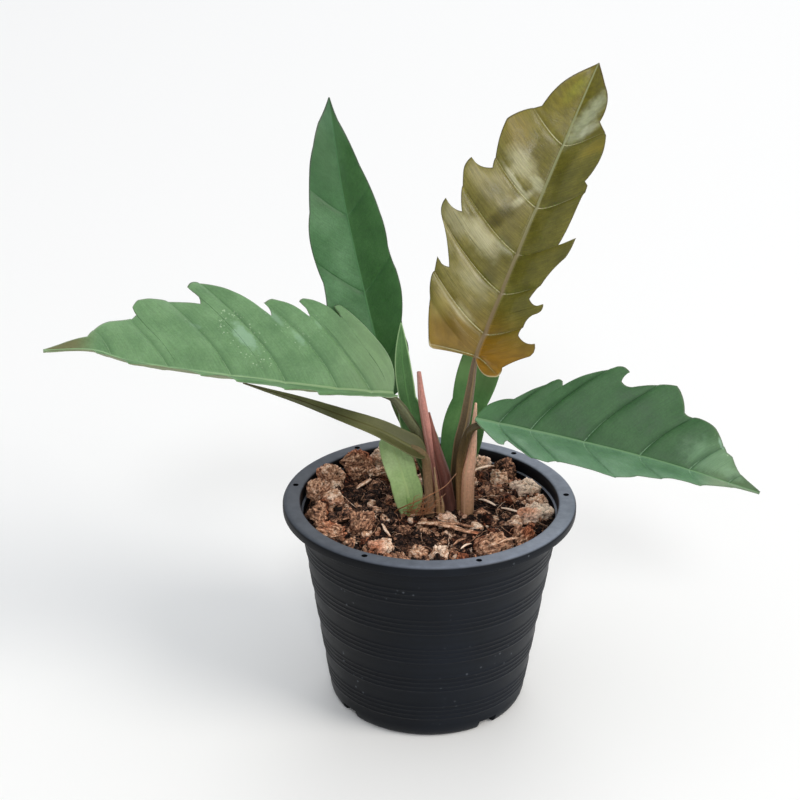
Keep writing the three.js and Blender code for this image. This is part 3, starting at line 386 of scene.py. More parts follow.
def heading(line, run, at):
    """The direction of a polyline at lengths along it, from half a millimetre before to half after."""
    at = np.clip(at, 0.01 * run[-1], 0.99 * run[-1])
    ahead = np.stack([np.interp(at + 0.5, run, line[:, k]) for k in range(3)], -1)
    behind = np.stack([np.interp(at - 0.5, run, line[:, k]) for k in range(3)], -1)
    return unit(ahead - behind)


def facing(azimuth, elevation):
    """The direction at an azimuth and an elevation in degrees."""
    a, e = math.radians(azimuth), math.radians(elevation)
    return np.array([math.cos(a) * math.cos(e), math.sin(a) * math.cos(e), math.sin(e)])


def full_turn(steps):
    """Angles that divide a full turn into even steps."""
    return np.linspace(0, 2 * np.pi, steps, endpoint=False)


def round_points(radius, turn, z):
    """Points at a radius and an angle about the upright axis, at a height."""
    return np.stack(np.broadcast_arrays(radius * np.cos(turn), radius * np.sin(turn), z), -1)


# Meshes

def closed_skins(name, rings, slots=None, **fields):
    """One mesh of closed skins, in metres. rings is (skins, rows, columns, 3) in mm: a skin is a stack of
    rings, each ring's last point joined to its first, and the middle of the first and of the last ring closes
    it. fields are values per grid point, stored as attributes; slots is the material slot of each column."""
    skins, rows, columns, _ = rings.shape
    poles = np.stack([rings[:, 0].mean(axis=1), rings[:, -1].mean(axis=1)], 1)
    points = np.concatenate([rings.reshape(skins, rows * columns, 3), poles], 1)
    row = np.arange(rows - 1)[:, None]
    column = np.arange(columns)[None, :]
    after = (column + 1) % columns
    quads = np.stack([row * columns + column, row * columns + after,
                      (row + 1) * columns + after, (row + 1) * columns + column], -1).reshape(-1, 4)
    first, last = rows * columns, rows * columns + 1
    ring = np.arange(columns)
    turned = (ring + 1) % columns
    end = (rows - 1) * columns
    caps = np.concatenate([np.stack([np.full(columns, first), turned, ring], -1),
                           np.stack([np.full(columns, last), end + ring, end + turned], -1)])
    corner = points[:, quads]
    middle = points.mean(axis=1)[:, None, None]
    a, b, c, d = np.moveaxis(corner - middle, 2, 0)
    volume = (np.cross(a, b) * c).sum((1, 2)) + (np.cross(a, c) * d).sum((1, 2))
    inside_out = (volume < 0)[:, None, None]
    offset = (np.arange(skins) * points.shape[1])[:, None, None]
    all_quads = np.where(inside_out, quads[None, :, ::-1], quads[None]) + offset
    all_caps = np.where(inside_out, caps[None, :, ::-1], caps[None]) + offset
    corners = np.concatenate([all_quads.ravel(), all_caps.ravel()]).astype(np.int32)
    n_quads, n_caps = all_quads.shape[0] * all_quads.shape[1], all_caps.shape[0] * all_caps.shape[1]
    starts = np.concatenate([np.arange(n_quads) * 4, n_quads * 4 + np.arange(n_caps) * 3]).astype(np.int32)

    mesh = bpy.data.meshes.new(name)
    mesh.vertices.add(skins * points.shape[1])
    mesh.vertices.foreach_set("co", (points * MM).astype(np.float32).ravel())
    mesh.loops.add(len(corners))
    mesh.loops.foreach_set("vertex_index", corners)
    mesh.polygons.add(len(starts))
    mesh.polygons.foreach_set("loop_start", starts)
    mesh.polygons.foreach_set("use_smooth", np.ones(len(starts), bool))
    if slots is not None:
        slot_of = np.concatenate([np.tile(slots, skins * (rows - 1)), np.tile(slots, skins * 2)])
        mesh.polygons.foreach_set("material_index", slot_of.astype(np.int32))
    for field, values in fields.items():
        values = np.asarray(values, float)
        size = values.shape[3] if values.ndim == 4 else 1
        flat = np.broadcast_to(values.reshape(*values.shape[:3], size), (skins, rows, columns, size))
        ends = np.stack([flat[:, 0].mean(axis=1), flat[:, -1].mean(axis=1)], 1)
        whole = np.concatenate([flat.reshape(skins, rows * columns, size), ends], 1)
        kind, key = ("FLOAT_VECTOR", "vector") if size == 3 else ("FLOAT", "value")
        mesh.attributes.new(field, kind, "POINT").data.foreach_set(key, whole.astype(np.float32).ravel())
    mesh.update(calc_edges=True)
    mesh.validate()
    piece = bpy.data.objects.new(name, mesh)
    bpy.context.scene.collection.objects.link(piece)
    return piece


def tube_rings(path, radii, sides, up, section=None):
    """Rings round paths (skins, steps, 3): at each step a circle of the step's radius, square to the path,
    whose first point looks along up. section gives a factor on the radius for each turn and step."""
    ahead = unit(np.gradient(path, axis=-2))
    across = unit(np.cross(ahead, up))
    upward = np.cross(across, ahead)
    turn = full_turn(sides)
    reach = np.broadcast_to(radii, path.shape[:-1])[..., None]
    if section is not None:
        reach = reach * section(turn)
    out = np.cos(turn)[:, None] * upward[..., None, :] + np.sin(turn)[:, None] * across[..., None, :]
    return path[..., None, :] + reach[..., None] * out


def stem_grid(points, radii, steps, sides, up, section):
    """A tapered stem along a smooth line: its rings, and for each ring point the length run and the turn."""
    line, run = smooth_line(points)
    share = np.linspace(0, 1, steps)
    path = on_line(line, run, share * run[-1])[None]
    thick = np.interp(share, np.linspace(0, 1, len(radii)), radii)
    up = np.asarray(up, float)
    rings = tube_rings(path, thick, sides, up, section)
    along = np.broadcast_to((share * run[-1])[None, :, None], rings.shape[:3])
    around = np.broadcast_to(full_turn(sides), rings.shape[:3])
    return rings, along, around


def finish_piece(piece, nodes, slot, *materials):
    """Gives a piece its materials and its place on the frame, and hides the imported parts of the nodes that it
    stands for. slot is not used.
    """
    for material in materials:
        piece.data.materials.append(material)
    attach(piece, "root")
    if nodes:
        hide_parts(*nodes)
    return piece


# Leaf blades

def margin(arcs, steps=24):
    """A flat margin: each arc is a quadratic curve from the last point, whose control point stands off its
    chord's middle by twice the bulge times the chord. Returns the line and the places of the arcs' ends."""
    line = [np.array([arcs[0][:2]], float)]
    for arc in arcs[1:]:
        start, end = line[-1][-1], np.array(arc[:2], float)
        chord = end - start
        control = (start + end) / 2 + np.array([-chord[1], chord[0]]) * 2 * arc[2]
        t = np.linspace(0, 1, steps + 1)[1:, None]
        line.append((1 - t) ** 2 * start + 2 * t * (1 - t) * control + t**2 * end)
    whole = np.vstack(line)
    return whole, np.arange(0, len(whole), steps)


def feet(line, length, slant):
    """The foot on the midrib of each margin point: back down a side vein, never turning back, spread a
    little evenly and stretched to the whole midrib."""
    foot = np.maximum.accumulate(np.clip(line[:, 0] - line[:, 1] * slant, 0, length))
    even = np.linspace(0, length, len(foot))
    spread = foot + (even - foot) * BUILD["even_share"]
    return (spread - spread[0]) / (spread[-1] - spread[0]) * length


def crowded(count, near_middle, near_edge):
    """Rising parts from 0 to 1, closer together near 0 and near 1: evenly spaced on the running sum of a
    density of 1 with a swell at each end."""
    fine = np.linspace(0, 1, 2001)
    density = 1 + near_middle * np.exp(-fine / 0.05) + near_edge * np.exp((fine - 1) / 0.03)
    total = np.cumsum(density)
    return np.interp(np.linspace(total[0], total[-1], count), total, fine)


def vein_phase(foot, veins, length):
    """A rising count of side veins along the midrib: a whole number on each vein and a half between two.
    Before the first and past the last it never reaches a whole number."""
    if not veins:
        return np.full_like(foot, 0.5)
    places = np.concatenate([[min(0, veins[0] - 10)], veins, [length + 1]])
    counts = np.concatenate([[0.55], np.arange(1, len(veins) + 1), [len(veins) + 0.5]])
    return np.interp(foot, places, counts)


def vein_gap(foot, veins, halves, own, part, sweep, x, w):
    """Distance in mm of every blade point from the nearest side vein, at the same part of the way out to the
    margin; it is negative on the vein's base side, and far from every vein on a blade that has none."""
    if not veins:
        return np.full_like(x, 60.0)
    veins = np.array(veins, float)
    nearest = np.abs(foot[:, None] - veins).argmin(axis=1)
    at = veins[nearest]
    edge = np.array([[np.interp(at, f, e[:, k]) for k in (0, 1)] for f, e in halves])
    vein_x = at[:, None] + (edge[own, 0].T - at[:, None]) * part ** sweep
    vein_w = edge[own, 1].T * part
    return np.hypot(x - vein_x, w - vein_w) * np.where(foot < at, -1.0, 1.0)[:, None]


def blade_relief(leaf, flat_x, w, side, foot, part, phase):
    """Height of the upper face over the folded leaf: a swell b^rising (1-b)^falling between neighbouring side
    veins, where b runs from 0 at the lower one to 1 at the upper one, waves that grow towards the margin and a
    slow unevenness."""
    beyond = phase - np.floor(phase)
    rising, falling = leaf["swell"]
    peak = (rising / (rising + falling)) ** rising * (falling / (rising + falling)) ** falling
    swell = beyond**rising * (1 - beyond) ** falling / peak
    quilt = leaf["quilt"] * swell * np.minimum(w / BUILD["quilt_at"], 1) if leaf["veins"] else 0
    turn = 2 * np.pi * (foot + side * BUILD["side_lag"]) / leaf["wave_length"]
    wave = leaf["wave"] * np.sin(turn) * part**2
    spot = np.stack([flat_x, side * w, np.zeros_like(w)], -1)
    uneven = (0.35 * rough(spot, 16, 3, 5) + 0.09 * rough(spot, 5, 2, 9)) * np.minimum(w / 10, 1)
    return quilt + wave + uneven


def blade_grid(leaf, rows, columns):
    """A blade as rings across it. A row leaves the midrib at its foot and sweeps out to both margins:
    x = foot + (edge x - foot) part^sweep and w = edge w part. It is then bent onto the leaf: along the
    midrib's curve, folded to a soft V, curled and raised by its relief. The upper and lower faces stand off
    by half the thickness, which falls to nothing at the margin, and the lower one carries the ribs."""
    line, run = smooth_line(leaf["midrib"])
    length = run[-1]
    slant = 1 / math.tan(math.radians(leaf["vein_angle"]))
    halves = []
    share_at = np.linspace(0, length, 1500)
    share = 0.5 * share_at / length
    row_feet = [np.array([0, length])]
    for arcs in (leaf["left"], leaf["right"]):
        edge, joints = margin(arcs)
        foot = feet(edge, length, slant)
        step = np.linalg.norm(np.diff(edge, axis=0), axis=1)
        edge_run = np.concatenate([[0], np.cumsum(step)])
        share = share + np.interp(share_at, foot, edge_run) / edge_run[-1]
        halves.append((foot, edge))
        row_feet.append(foot[joints])
    row_feet.append(np.interp(np.linspace(0, share[-1], rows), share, share_at))
    row_feet.append(np.array([v + d for v in leaf["veins"] for d in (-0.8, -0.4, 0, 0.4, 0.8)]))
    foot = np.unique(np.clip(np.concatenate(row_feet), 0, length))
    foot = foot[np.concatenate([[True], np.diff(foot) > 0.003])]

    parts = crowded(columns, 5, 3)
    signed = np.concatenate([-parts[:0:-1], parts])
    ring = np.concatenate([signed, signed[-2:0:-1]])
    upper = np.arange(len(ring)) < len(signed)
    side = np.where(ring < 0, -1.0, 1.0)
    part = np.abs(ring)
    edge = np.array([[np.interp(foot, f, e[:, k]) for k in (0, 1)] for f, e in halves])
    own = (side > 0).astype(int)
    edge_x, edge_w = edge[own, 0].T, edge[own, 1].T
    at_foot = foot[:, None]
    sweep = leaf.get("sweep", BUILD["sweep"])
    x = at_foot + (edge_x - at_foot) * part ** sweep
    w = edge_w * part
    phase = np.broadcast_to(vein_phase(foot, leaf["veins"], length)[:, None], x.shape)

    u = np.clip(x / length, 0, 1)
    centre = on_line(line, run, x)
    ahead = heading(line, run, x)
    face = facing(*leaf["face"])
    face = unit(face - (ahead @ face)[..., None] * ahead)
    across = np.cross(ahead, face)
    folds = [low + (high - low) * u for low, high in leaf["fold"]]
    fold = np.radians(np.where(side < 0, *folds))
    soft = BUILD["soft_fold"] * np.sin(fold)
    rise = np.hypot(w * np.sin(fold), soft) - soft
    curl = np.where(side < 0, leaf["curl"][0], leaf["curl"][1]) * (w / BUILD["curl_at"]) ** 2
    relief = blade_relief(leaf, x, w, side, at_foot, part, phase)
    lean = (fold * np.minimum(1, w / BUILD["soft_fold"]) * side)[..., None]
    normal = face * np.cos(lean) - across * np.sin(lean)
    middle = centre + across * (side * w * np.cos(fold))[..., None] + face * (rise - curl + relief)[..., None]

    rib_half = leaf["rib_half"] * (1 - RELIEF["rib_narrows"] * u)
    gap = vein_gap(foot, leaf["veins"], halves, own, part, sweep, x, w)
    fade = np.clip(1.15 - part, 0, 1) * np.minimum(w / 2, 1)
    valley, sharp = [np.exp(-((gap / RELIEF[half]) ** 2)) for half in ("valley", "line")]
    valley = leaf["groove"] * (0.6 * valley + 0.4 * sharp) * fade
    band = 0.16 * rib_half * (np.exp(-((w / rib_half) ** 6))
                              - 0.8 * np.exp(-(((w - 1.5 * rib_half) / (0.5 * rib_half)) ** 2)))
    ridge = leaf["rib"] * (1 - 0.75 * u) * np.exp(-((w / (1.3 * rib_half)) ** 2))
    vein_ridge = RELIEF["ridge"] * np.exp(-((gap / RELIEF["ridge_half"]) ** 2)) * fade
    thick = BLADE_THICKNESS / 2 * np.sqrt(np.clip(1 - part**14, 0, 1))
    lift = np.where(upper, thick + band - valley, -thick - ridge - vein_ridge)
    lift = np.where(part < 1, lift, 0)
    points = middle + normal * lift[..., None]

    fields = {
        "flat": np.stack([x, side * w, np.zeros_like(w)], -1)[None] * MM,
        "phase": phase[None],
        "reach": np.broadcast_to(ring, x.shape)[None],
        "rib": (side * w / rib_half)[None],
        "gap": gap[None],
        "inset": (edge_w * (1 - part))[None],
    }
    slots = np.where(np.arange(len(ring)) < len(signed) - 1, 0, 1)
    return points[None], slots, fields


def lance(length, half, widest, taper):
    """A lance-shaped half margin: out to its widest place, and in to the tip."""
    return [[0, half * 0.35], [length * widest, half, 0.1], [length, 0.4, taper]]


def slim_leaf(leaf):
    """A slim young leaf's own measures joined with what all of them share."""
    length = smooth_line(leaf["midrib"])[1][-1]
    side = lance(length, leaf["half"], leaf["widest"], leaf["taper"])
    fold = (leaf["fold"], leaf["fold"])
    return {**SLIM_BUILD, **leaf, "left": side, "right": side, "fold": (fold, fold)}


def channelled(depth, width):
    """A section for petioles: round, with a channel of a depth and a width in turns along its upper side,
    raised at the channel's two edges and slightly flattened below."""
    def section(turn):
        off = np.abs((turn + np.pi) % (2 * np.pi) - np.pi)
        channel = depth * np.exp(-((off / width) ** 4))
        edges = 0.08 * np.exp(-(((off - 1.5 * width) / 0.22) ** 2))
        return 1 - channel + edges - 0.04 * np.cos(2 * turn)
    return section


def keeled(keel):
    """A section for sheaths: an oval with a keel on one side and the shallow furrow of its overlap on the
    other."""
    def section(turn):
        off = np.abs((turn + np.pi) % (2 * np.pi) - np.pi)
        furrow = 0.16 * np.exp(-(((off - 2.2) / 0.16) ** 2))
        return 1 + keel * np.exp(-((off / 0.45) ** 2)) - furrow + 0.05 * np.cos(2 * turn)
    return section


# Materials

# Looks of the blades. deep, body and light are the mottle. base and tip tint the two ends, up to and from a place
# along the midrib in mm. halves tints the two sides lighter and darker as painted light and shade, and the silver
# on one of them is a painted sheen. groove colours each side vein with painted shade in its crease, and thread the
# pale line in it, which ends at reach_to of the way out. rib and rib_tip colour the midrib. edge is the hair-thin
# rim, and pale_rim a paler one up to a place along the midrib.
LEAF_LOOKS = {
    "leaf_left": {
        "slot": "sage_leaf", "finish": "living_leaf_sage", "deep": "#5f8559", "body": "#6c9264", "light": "#7ba072",
        "base": "#7c956a", "base_to": 42, "base_mix": (0.5, 0.6), "tip": "#6f6b42", "tip_from": 146,
        "groove": "#4c6f48", "painted_groove_shade_mix": (0.5, 0.5), "thread": "#93b287", "thread_mix": 0.5, "reach_to": 1.0,
        "rib": "#91ac7e", "rib_tip": "#86ab79", "edge": "#8ba281", "edge_mix": 0.6, "under": "#77805a",
        "roughness": 0.5, "pale_rim": ("#b4caa9", 22), "grain": 0.16, "level": 0.45,
        "halves": ((0.84, 0.88, 0.84), (0.93, 0.93, 0.93)),
    },
    "leaf_back": {
        "slot": "deep_green_leaf", "finish": "living_leaf_deep_green", "deep": "#2c592a", "body": "#356333",
        "light": "#427040", "base": "#2e5e26", "base_to": 40, "base_mix": (0.3, 0.8), "tip": "#3f6b42",
        "tip_from": 128, "groove": "#295229", "painted_groove_shade_mix": (0.5, 0.35), "thread": "#4b7a4c", "thread_mix": 0.25,
        "reach_to": 0.8, "rib": "#4c7a4b", "rib_tip": "#3e6d40", "edge": "#4b4a48", "edge_mix": 0.6,
        "under": "#5c7a55", "roughness": 0.45, "grain": 0.12, "level": 0.4,
        "halves": ((1.65, 1.25, 1.75), (0.85, 0.84, 0.68)),
    },
    "leaf_caramel": {
        "slot": "caramel_leaf", "finish": "living_leaf_bronze", "deep": "#625c1c", "body": "#766f2c",
        "light": "#8c8344", "base": "#aa7818", "base_to": 34, "base_mix": (0.4, 0.95), "tip": "#786f1b",
        "tip_from": 112, "groove": "#57521f", "painted_groove_shade_mix": (0.35, 0.4), "thread": "#c2bb92", "thread_mix": 0.85,
        "reach_to": 1.1, "rib": "#84704f", "rib_tip": "#94986c", "edge": "#4f3f26", "edge_mix": 0.75,
        "under": "#7a5a44", "pale_rim": ("#d0c49c", -2), "roughness": 0.33, "grain": 0.34, "level": 0.55,
        "halves": ((0.9, 0.88, 0.84), (0.81, 0.83, 0.58)), "painted_sheen": ("#aca27a", 0.4),
    },
    # leaf_right's paler tip colour is partly a painted sheen near its tip
    "leaf_right": {
        "slot": "green_leaf", "finish": "living_leaf_mid_green", "deep": "#325733", "body": "#3b623b",
        "light": "#476d46", "base": "#4f7f4f", "base_to": 26, "base_mix": (0.5, 0.6), "tip": "#55714b",
        "tip_from": 110, "groove": "#274929", "painted_groove_shade_mix": (0.6, 0.12), "thread": "#84a985", "thread_mix": 0.6,
        "reach_to": 0.55, "rib": "#75976f", "rib_tip": "#6a9064", "edge": "#5a6a52", "edge_mix": 0.6,
        "under": "#6a8360", "roughness": 0.45, "grain": 0.14, "level": 0.4,
        "halves": ((0.88, 0.9, 0.84), (2.6, 1.95, 2.9)),
    },
    "young_leaf_back": {
        "slot": "young_leaf", "finish": "young_leaf_green", "deep": "#3e6636", "body": "#4b7440", "light": "#5a834c",
        "base": "#3f6336", "base_to": 40, "base_mix": (0.7, 0.7), "tip": "#60844f", "tip_from": 46, "rib": "#4e7a40",
        "rib_tip": "#5c864c", "edge": "#557b49", "edge_mix": 0.5, "under": "#4a7a44", "roughness": 0.5, "grain": 0.1,
        "level": 0.3,
    },
    "young_leaf_centre": {
        "slot": "young_leaf", "finish": "young_leaf_soft_green", "deep": "#42663a", "body": "#4d7343",
        "light": "#5d8252", "rib": "#56804a", "rib_tip": "#56804a", "edge": "#a3c08e", "edge_mix": 0.7,
        "under": "#587f50", "roughness": 0.5, "grain": 0.1, "level": 0.3,
    },
    "strap_leaf": {
        "slot": "olive_leaf", "finish": "strap_leaf_olive", "deep": "#6a6b48", "body": "#7a7b53", "light": "#898a60",
        "base": "#3d3f1a", "base_to": 70, "base_mix": (0.95, 0.95), "tip": "#6f6b54", "tip_from": 88,
        "rib": "#5f6036", "rib_tip": "#54492e", "edge": "#6a6a45", "edge_mix": 0.5, "under": "#40381f",
        "roughness": 0.5, "grain": 0.1, "level": 0.35,
    },
    "pale_leaf": {
        "slot": "pale_leaf", "finish": "pale_leaf_yellow_green", "deep": "#86a468", "body": "#99b478",
        "light": "#aec58c", "rib": "#a9c083", "rib_tip": "#a3bb7c", "edge": "#8d9a66", "edge_mix": 0.5,
        "under": "#88a568", "roughness": 0.55, "grain": 0.1, "level": 0.3,
    },
}

# Dried water marks, as x and w of the middle, half length, half width, turn in degrees and strength of each
WATER_MARKS = {
    "leaf_left": ((76, 24, 15, 6, 52, 0.9), (49, 27, 8, 3.4, 50, 0.6), (61, 38, 9, 3, 50, 0.5),
                  (101, 28.5, 5, 2.5, 20, 0.5), (40, 36.5, 6, 2, 60, 0.35)),
    "leaf_right": ((119.5, -17.5, 4.5, 1.6, 48, 1.2),),
}

# Soft patches on the blades, the pale ones painted sheen and the darker ones brown and olive colour, as x and w
# of the middle, half length, half width, turn in degrees, colour and share
PAINTED_SHEEN_AND_COLOUR_PATCHES = {
    "leaf_caramel": ((57, -9, 44, 5, 0, "#565020", 0.5), (112, -24, 13, 8, -40, "#7d6c1a", 0.75),
                     (98, -15, 11, 6.5, -57, "#d0ccaa", 0.45), (92, -4, 6, 3, -57, "#c4c4a0", 0.45),
                     (89, -15.5, 12, 1.6, -57, "#e6e2c0", 0.5), (79.5, -10, 11, 2.2, 30, "#ccc8a6", 0.55),
                     (70.5, -14.5, 11, 4.4, 30, "#4e4600", 1.0), (60, -36, 11, 7, -57, "#aaa480", 0.55),
                     (57, -20, 14, 5.5, -60, "#c4c09e", 0.5), (57, -8, 6, 3, -50, "#9c9d76", 0.3),
                     (35, -15, 11, 4.5, -62, "#b0aa84", 0.45), (17, -27, 8, 6, -57, "#a3934f", 0.6),
                     (19, -14, 8, 3.2, -62, "#c6be95", 0.5), (7, -16, 15, 10, -80, "#75591a", 0.6),
                     (131, 8, 17, 6.5, 22, "#bec3a0", 0.7), (126, 12.5, 8, 3, 50, "#d4d6b8", 0.5),
                     (117, 22, 12, 4, 50, "#8c7d22", 0.6), (99, 9, 11, 5, 60, "#56541a", 0.5),
                     (82, 13, 24, 8, 0, "#545210", 0.4), (143, -5, 9, 3, 20, "#8d9130", 0.4)),
    "leaf_back": ((130, -9, 27, 14, 0, "#3a5f39", 0.85),),
    "leaf_right": ((117, -9, 17, 9, 0, "#7da07c", 0.55), (128, -6, 8, 4, 0, "#86a684", 0.4)),
}

# What a kind of node is set to here unless a call says otherwise: colours are mixed, a range eases in and out,
# and two values are multiplied. TINT multiplies two colours instead, and EVEN lets a range run evenly.
USUAL = {
    "Mix": {"data_type": "RGBA"},
    "MapRange": {"interpolation_type": "SMOOTHSTEP"},
    "Math": {"operation": "MULTIPLY"},
}
TINT = {"blend_type": "MULTIPLY"}
EVEN = {"interpolation_type": "LINEAR"}


def node(tree, kind, *in_order, give=None, ramp=(), **named):
    """Adds a shader node with its settings and links. in_order fills the sockets that it has in use, one after
    the other. A name with a capital is a socket, and any other a setting. A socket is linked, a hex colour is
    turned linear and anything else is set. Returns the first output in use, or the one that give names."""
    made = tree.nodes.new("ShaderNode" + kind)
    for name, value in {**USUAL.get(kind, {}), **named}.items():
        if name[0].islower():
            setattr(made, name, value)
    fill = list(zip([socket for socket in made.inputs if socket.enabled], in_order))
    fill += [(made.inputs[name.replace("_", " ")], value) for name, value in named.items() if name[0].isupper()]
    for socket, value in fill:
        if isinstance(value, bpy.types.NodeSocket):
            tree.links.new(value, socket)
        else:
            socket.default_value = linear(value) if isinstance(value, str) else value
    if ramp:
        stops = made.color_ramp.elements
        for _ in ramp[2:]:
            stops.new(1.0)
        for stop, (place, colour) in zip(stops, ramp):
            stop.position = place
            stop.color = linear(colour) if isinstance(colour, str) else colour
    in_use = [socket for socket in made.outputs if socket.enabled]
    return made.outputs[give] if give else in_use[0] if in_use else None


def new_material(name):
    """An empty node material, and node() for its own tree."""
    material = bpy.data.materials.new(name)
    material.use_nodes = True
    material.node_tree.nodes.clear()
    return material, partial(node, material.node_tree)


def oval(add, flat, ragged, push, x, w, long, wide, turn):
    """How far off the middle of a ragged oval a place on the flat leaf is: its length in the oval's own turned
    axes, as a share of the oval's half length and half width, plus noise times push."""
    near = add("Mapping", flat, Location=(x * MM, w * MM, 0), Rotation=(0, 0, math.radians(turn)),
               Scale=(long * MM, wide * MM, 1), vector_type="TEXTURE")
    return add("Math", ragged, push, add("VectorMath", near, operation="LENGTH"), operation="MULTIPLY_ADD")


def water_marks(add, body, flat, marks):
    """Chalky marks that dried drops left: ragged ovals of haze with outlines of beads about 1.5 mm apart."""
    ragged = add("TexNoise", flat, Scale=260.0, Detail=4.0, Roughness=0.7)
    bead = add("MapRange", add("TexVoronoi", flat, Scale=620.0), 0.32, 0.18)
    for *place, strength in marks:
        off = oval(add, flat, ragged, 1.3, *place)
        body = add("Mix", add("MapRange", off, 1.45, 1.0, 0.0, 0.5 * strength), body, "#9fbfa8")
        ring = add("Math", add("MapRange", off, 1.5, 1.75), add("MapRange", off, 2.2, 1.85))
        body = add("Mix", add("Math", add("Math", ring, bead), 0.7 * strength), body, "#b4cba8")
    return body


def painted_sheen_and_colour_patches(add, body, flat, patches):
    """Soft ovals of painted sheen and of the blade's own darker colours, laid on the flat leaf with slightly ragged
    outlines.
    """
    ragged = add("TexNoise", flat, Scale=130.0, Detail=3.0, Roughness=0.6)
    for *place, colour, most in patches:
        off = oval(add, flat, ragged, 1.2, *place)
        body = add("Mix", add("MapRange", off, 1.9, 0.9, 0.0, most), body, colour)
    return body


def leaf_upper(look, length, marks, patches):
    """A living blade's upper face: waxy and satin, softly mottled, with painted shade darkening the grooves of its
    side veins, which hold a pale thread, a midrib that thins to the tip and a hair-thin rim. Where its look asks,
    one half is tinted lighter than the other as painted light and silver patches are laid on as painted sheen. The
    eye reads it as a leathery leaf under soft light."""
    material, add = new_material(look["finish"])
    flat = add("Attribute", attribute_name="flat", give="Vector")
    phase, reach, rib, gap, inset = [add("Attribute", attribute_name=field, give="Fac")
                                     for field in ("phase", "reach", "rib", "gap", "inset")]
    outward, beside = [add("Math", field, operation="ABSOLUTE") for field in (reach, rib)]
    along = add("SeparateXYZ", flat)

    # Soft blotches about 22 mm across under finer ones about 4 mm across, and specks of 1 mm
    blotch = add("TexNoise", flat, Scale=45.0, Detail=6.0, Roughness=0.62)
    body = add("ValToRGB", blotch, ramp=((0.33, look["deep"]), (0.5, look["body"]), (0.68, look["light"])))
    speck = add("TexNoise", flat, Scale=900.0, Detail=3.0)
    body = add("Mix", 1.0, body, add("MapRange", speck, 0.3, 0.7, 0.93, 1.07), **TINT)
    if "base" in look:
        half = add("MapRange", reach, -0.05, 0.05, *look["base_mix"])
        near_base = add("Math", add("MapRange", along, look["base_to"] * MM, 0.0), half)
        body = add("Mix", near_base, body, look["base"])
        tip = look["tip_from"] * MM
        body = add("Mix", add("MapRange", along, tip, tip + 14 * MM, 0.0, 0.9), body, look["tip"])
    # Painted light and shade: one half of the blade tinted lighter and the other darker, as the key light falls on
    # them
    if "halves" in look:
        left, right = [(*tint, 1.0) for tint in look["halves"]]
        tint = add("Mix", add("MapRange", reach, -0.02, 0.02), left, right)
        body = add("Mix", 1.0, body, tint, **TINT)

    # Painted silver sheen on one half: patches that rise over each panel towards its next vein and towards the
    # midrib, where the quilting would catch highlights
    if "painted_sheen" in look:
        colour, most = look["painted_sheen"]
        panel = add("Math", phase, operation="FRACT")
        cloud_at = add("CombineXYZ", add("Math", phase, 2.2), add("Math", reach, 1.4))
        cloud = add("TexNoise", cloud_at, Scale=1.3, Detail=2.0)
        patch = add("Math", add("MapRange", cloud, 0.4, 0.62), add("MapRange", panel, 0.1, 0.6))
        half = add("Math", add("MapRange", reach, -0.12, -0.42), add("MapRange", outward, 1.05, 0.8))
        patch = add("Math", patch, half)
        patch = add("Math", patch, add("MapRange", along, look["tip_from"] * MM, (look["tip_from"] - 18) * MM))
        body = add("Mix", add("Math", patch, most), body, colour)
    # Pale ovals of painted sheen and darker ovals of brown and olive colour
    if patches:
        body = painted_sheen_and_colour_patches(add, body, flat, patches)

    # Fine parallel veins, about a millimetre apart, that run out beside the side veins
    streak_at = add("CombineXYZ", add("Math", phase, 26.0), add("Math", reach, 2.5))
    streak = add("TexNoise", streak_at, Scale=1.6, Detail=3.0)
    tone = add("MapRange", streak, 0.3, 0.7, 1 - look["grain"] / 2, 1 + look["grain"] / 2)
    body = add("Mix", 1.0, body, tone, **TINT)
    if marks:
        body = water_marks(add, body, flat, marks)

    # Side veins: painted shade darkening a soft groove, more on its base side, and a pale beaded thread that fades
    # out sooner
    if "groove" in look:
        inward = add("MapRange", outward, 1.0, 0.55, 0.35, 1.0)
        groove = add("Math", add("MapRange", gap, -3.6, -0.1), add("MapRange", gap, 1.3, 0.1))
        half = add("MapRange", reach, -0.02, 0.02, *look["painted_groove_shade_mix"])
        groove = add("Math", add("Math", groove, inward), half)
        body = add("Mix", groove, body, look["groove"])
        off = add("Math", gap, operation="ABSOLUTE")
        beaded = add("MapRange", speck, 0.36, 0.52, 0.35, 1.0)
        thread = add("Math", add("MapRange", off, 0.42, 0.12), add("MapRange", outward, look["reach_to"], 0.12))
        body = add("Mix", add("Math", add("Math", thread, beaded), look["thread_mix"]), body, look["thread"])

    # Midrib and rim
    to_tip = add("MapRange", along, 0.1 * length * MM, 0.75 * length * MM)
    rib_colour = add("Mix", to_tip, look["rib"], look["rib_tip"])
    body = add("Mix", add("MapRange", beside, 1.15, 0.6, 0.0, 0.9), body, rib_colour)
    edge, wide = look["edge"], 0.75
    if "pale_rim" in look:
        colour, until = look["pale_rim"]
        near_base = add("MapRange", along, (until + 3) * MM, until * MM)
        edge = add("Mix", near_base, edge, colour)
        wide = add("MapRange", near_base, 0.0, 1.0, wide, 1.3)
    rim = add("Math", inset, wide, operation="DIVIDE")
    body = add("Mix", add("MapRange", rim, 1.0, 0.35, 0.0, look["edge_mix"]), body, edge)

    pores = add("TexNoise", flat, Scale=1500.0, Detail=2.0)
    height = add("Math", streak, 0.8, pores, operation="MULTIPLY_ADD")
    gloss = add("MapRange", blotch, 0.3, 0.7, look["roughness"] - 0.06, look["roughness"] + 0.08)
    add("OutputMaterial", add(
        "BsdfPrincipled", Base_Color=body, Roughness=gloss, IOR=1.45, Specular_IOR_Level=look["level"],
        Normal=add("Bump", Height=height, Strength=0.3, Distance=0.0003),
        Subsurface_Weight=0.06, Subsurface_Radius=(1.0, 1.6, 0.4), Subsurface_Scale=0.001))
    return material


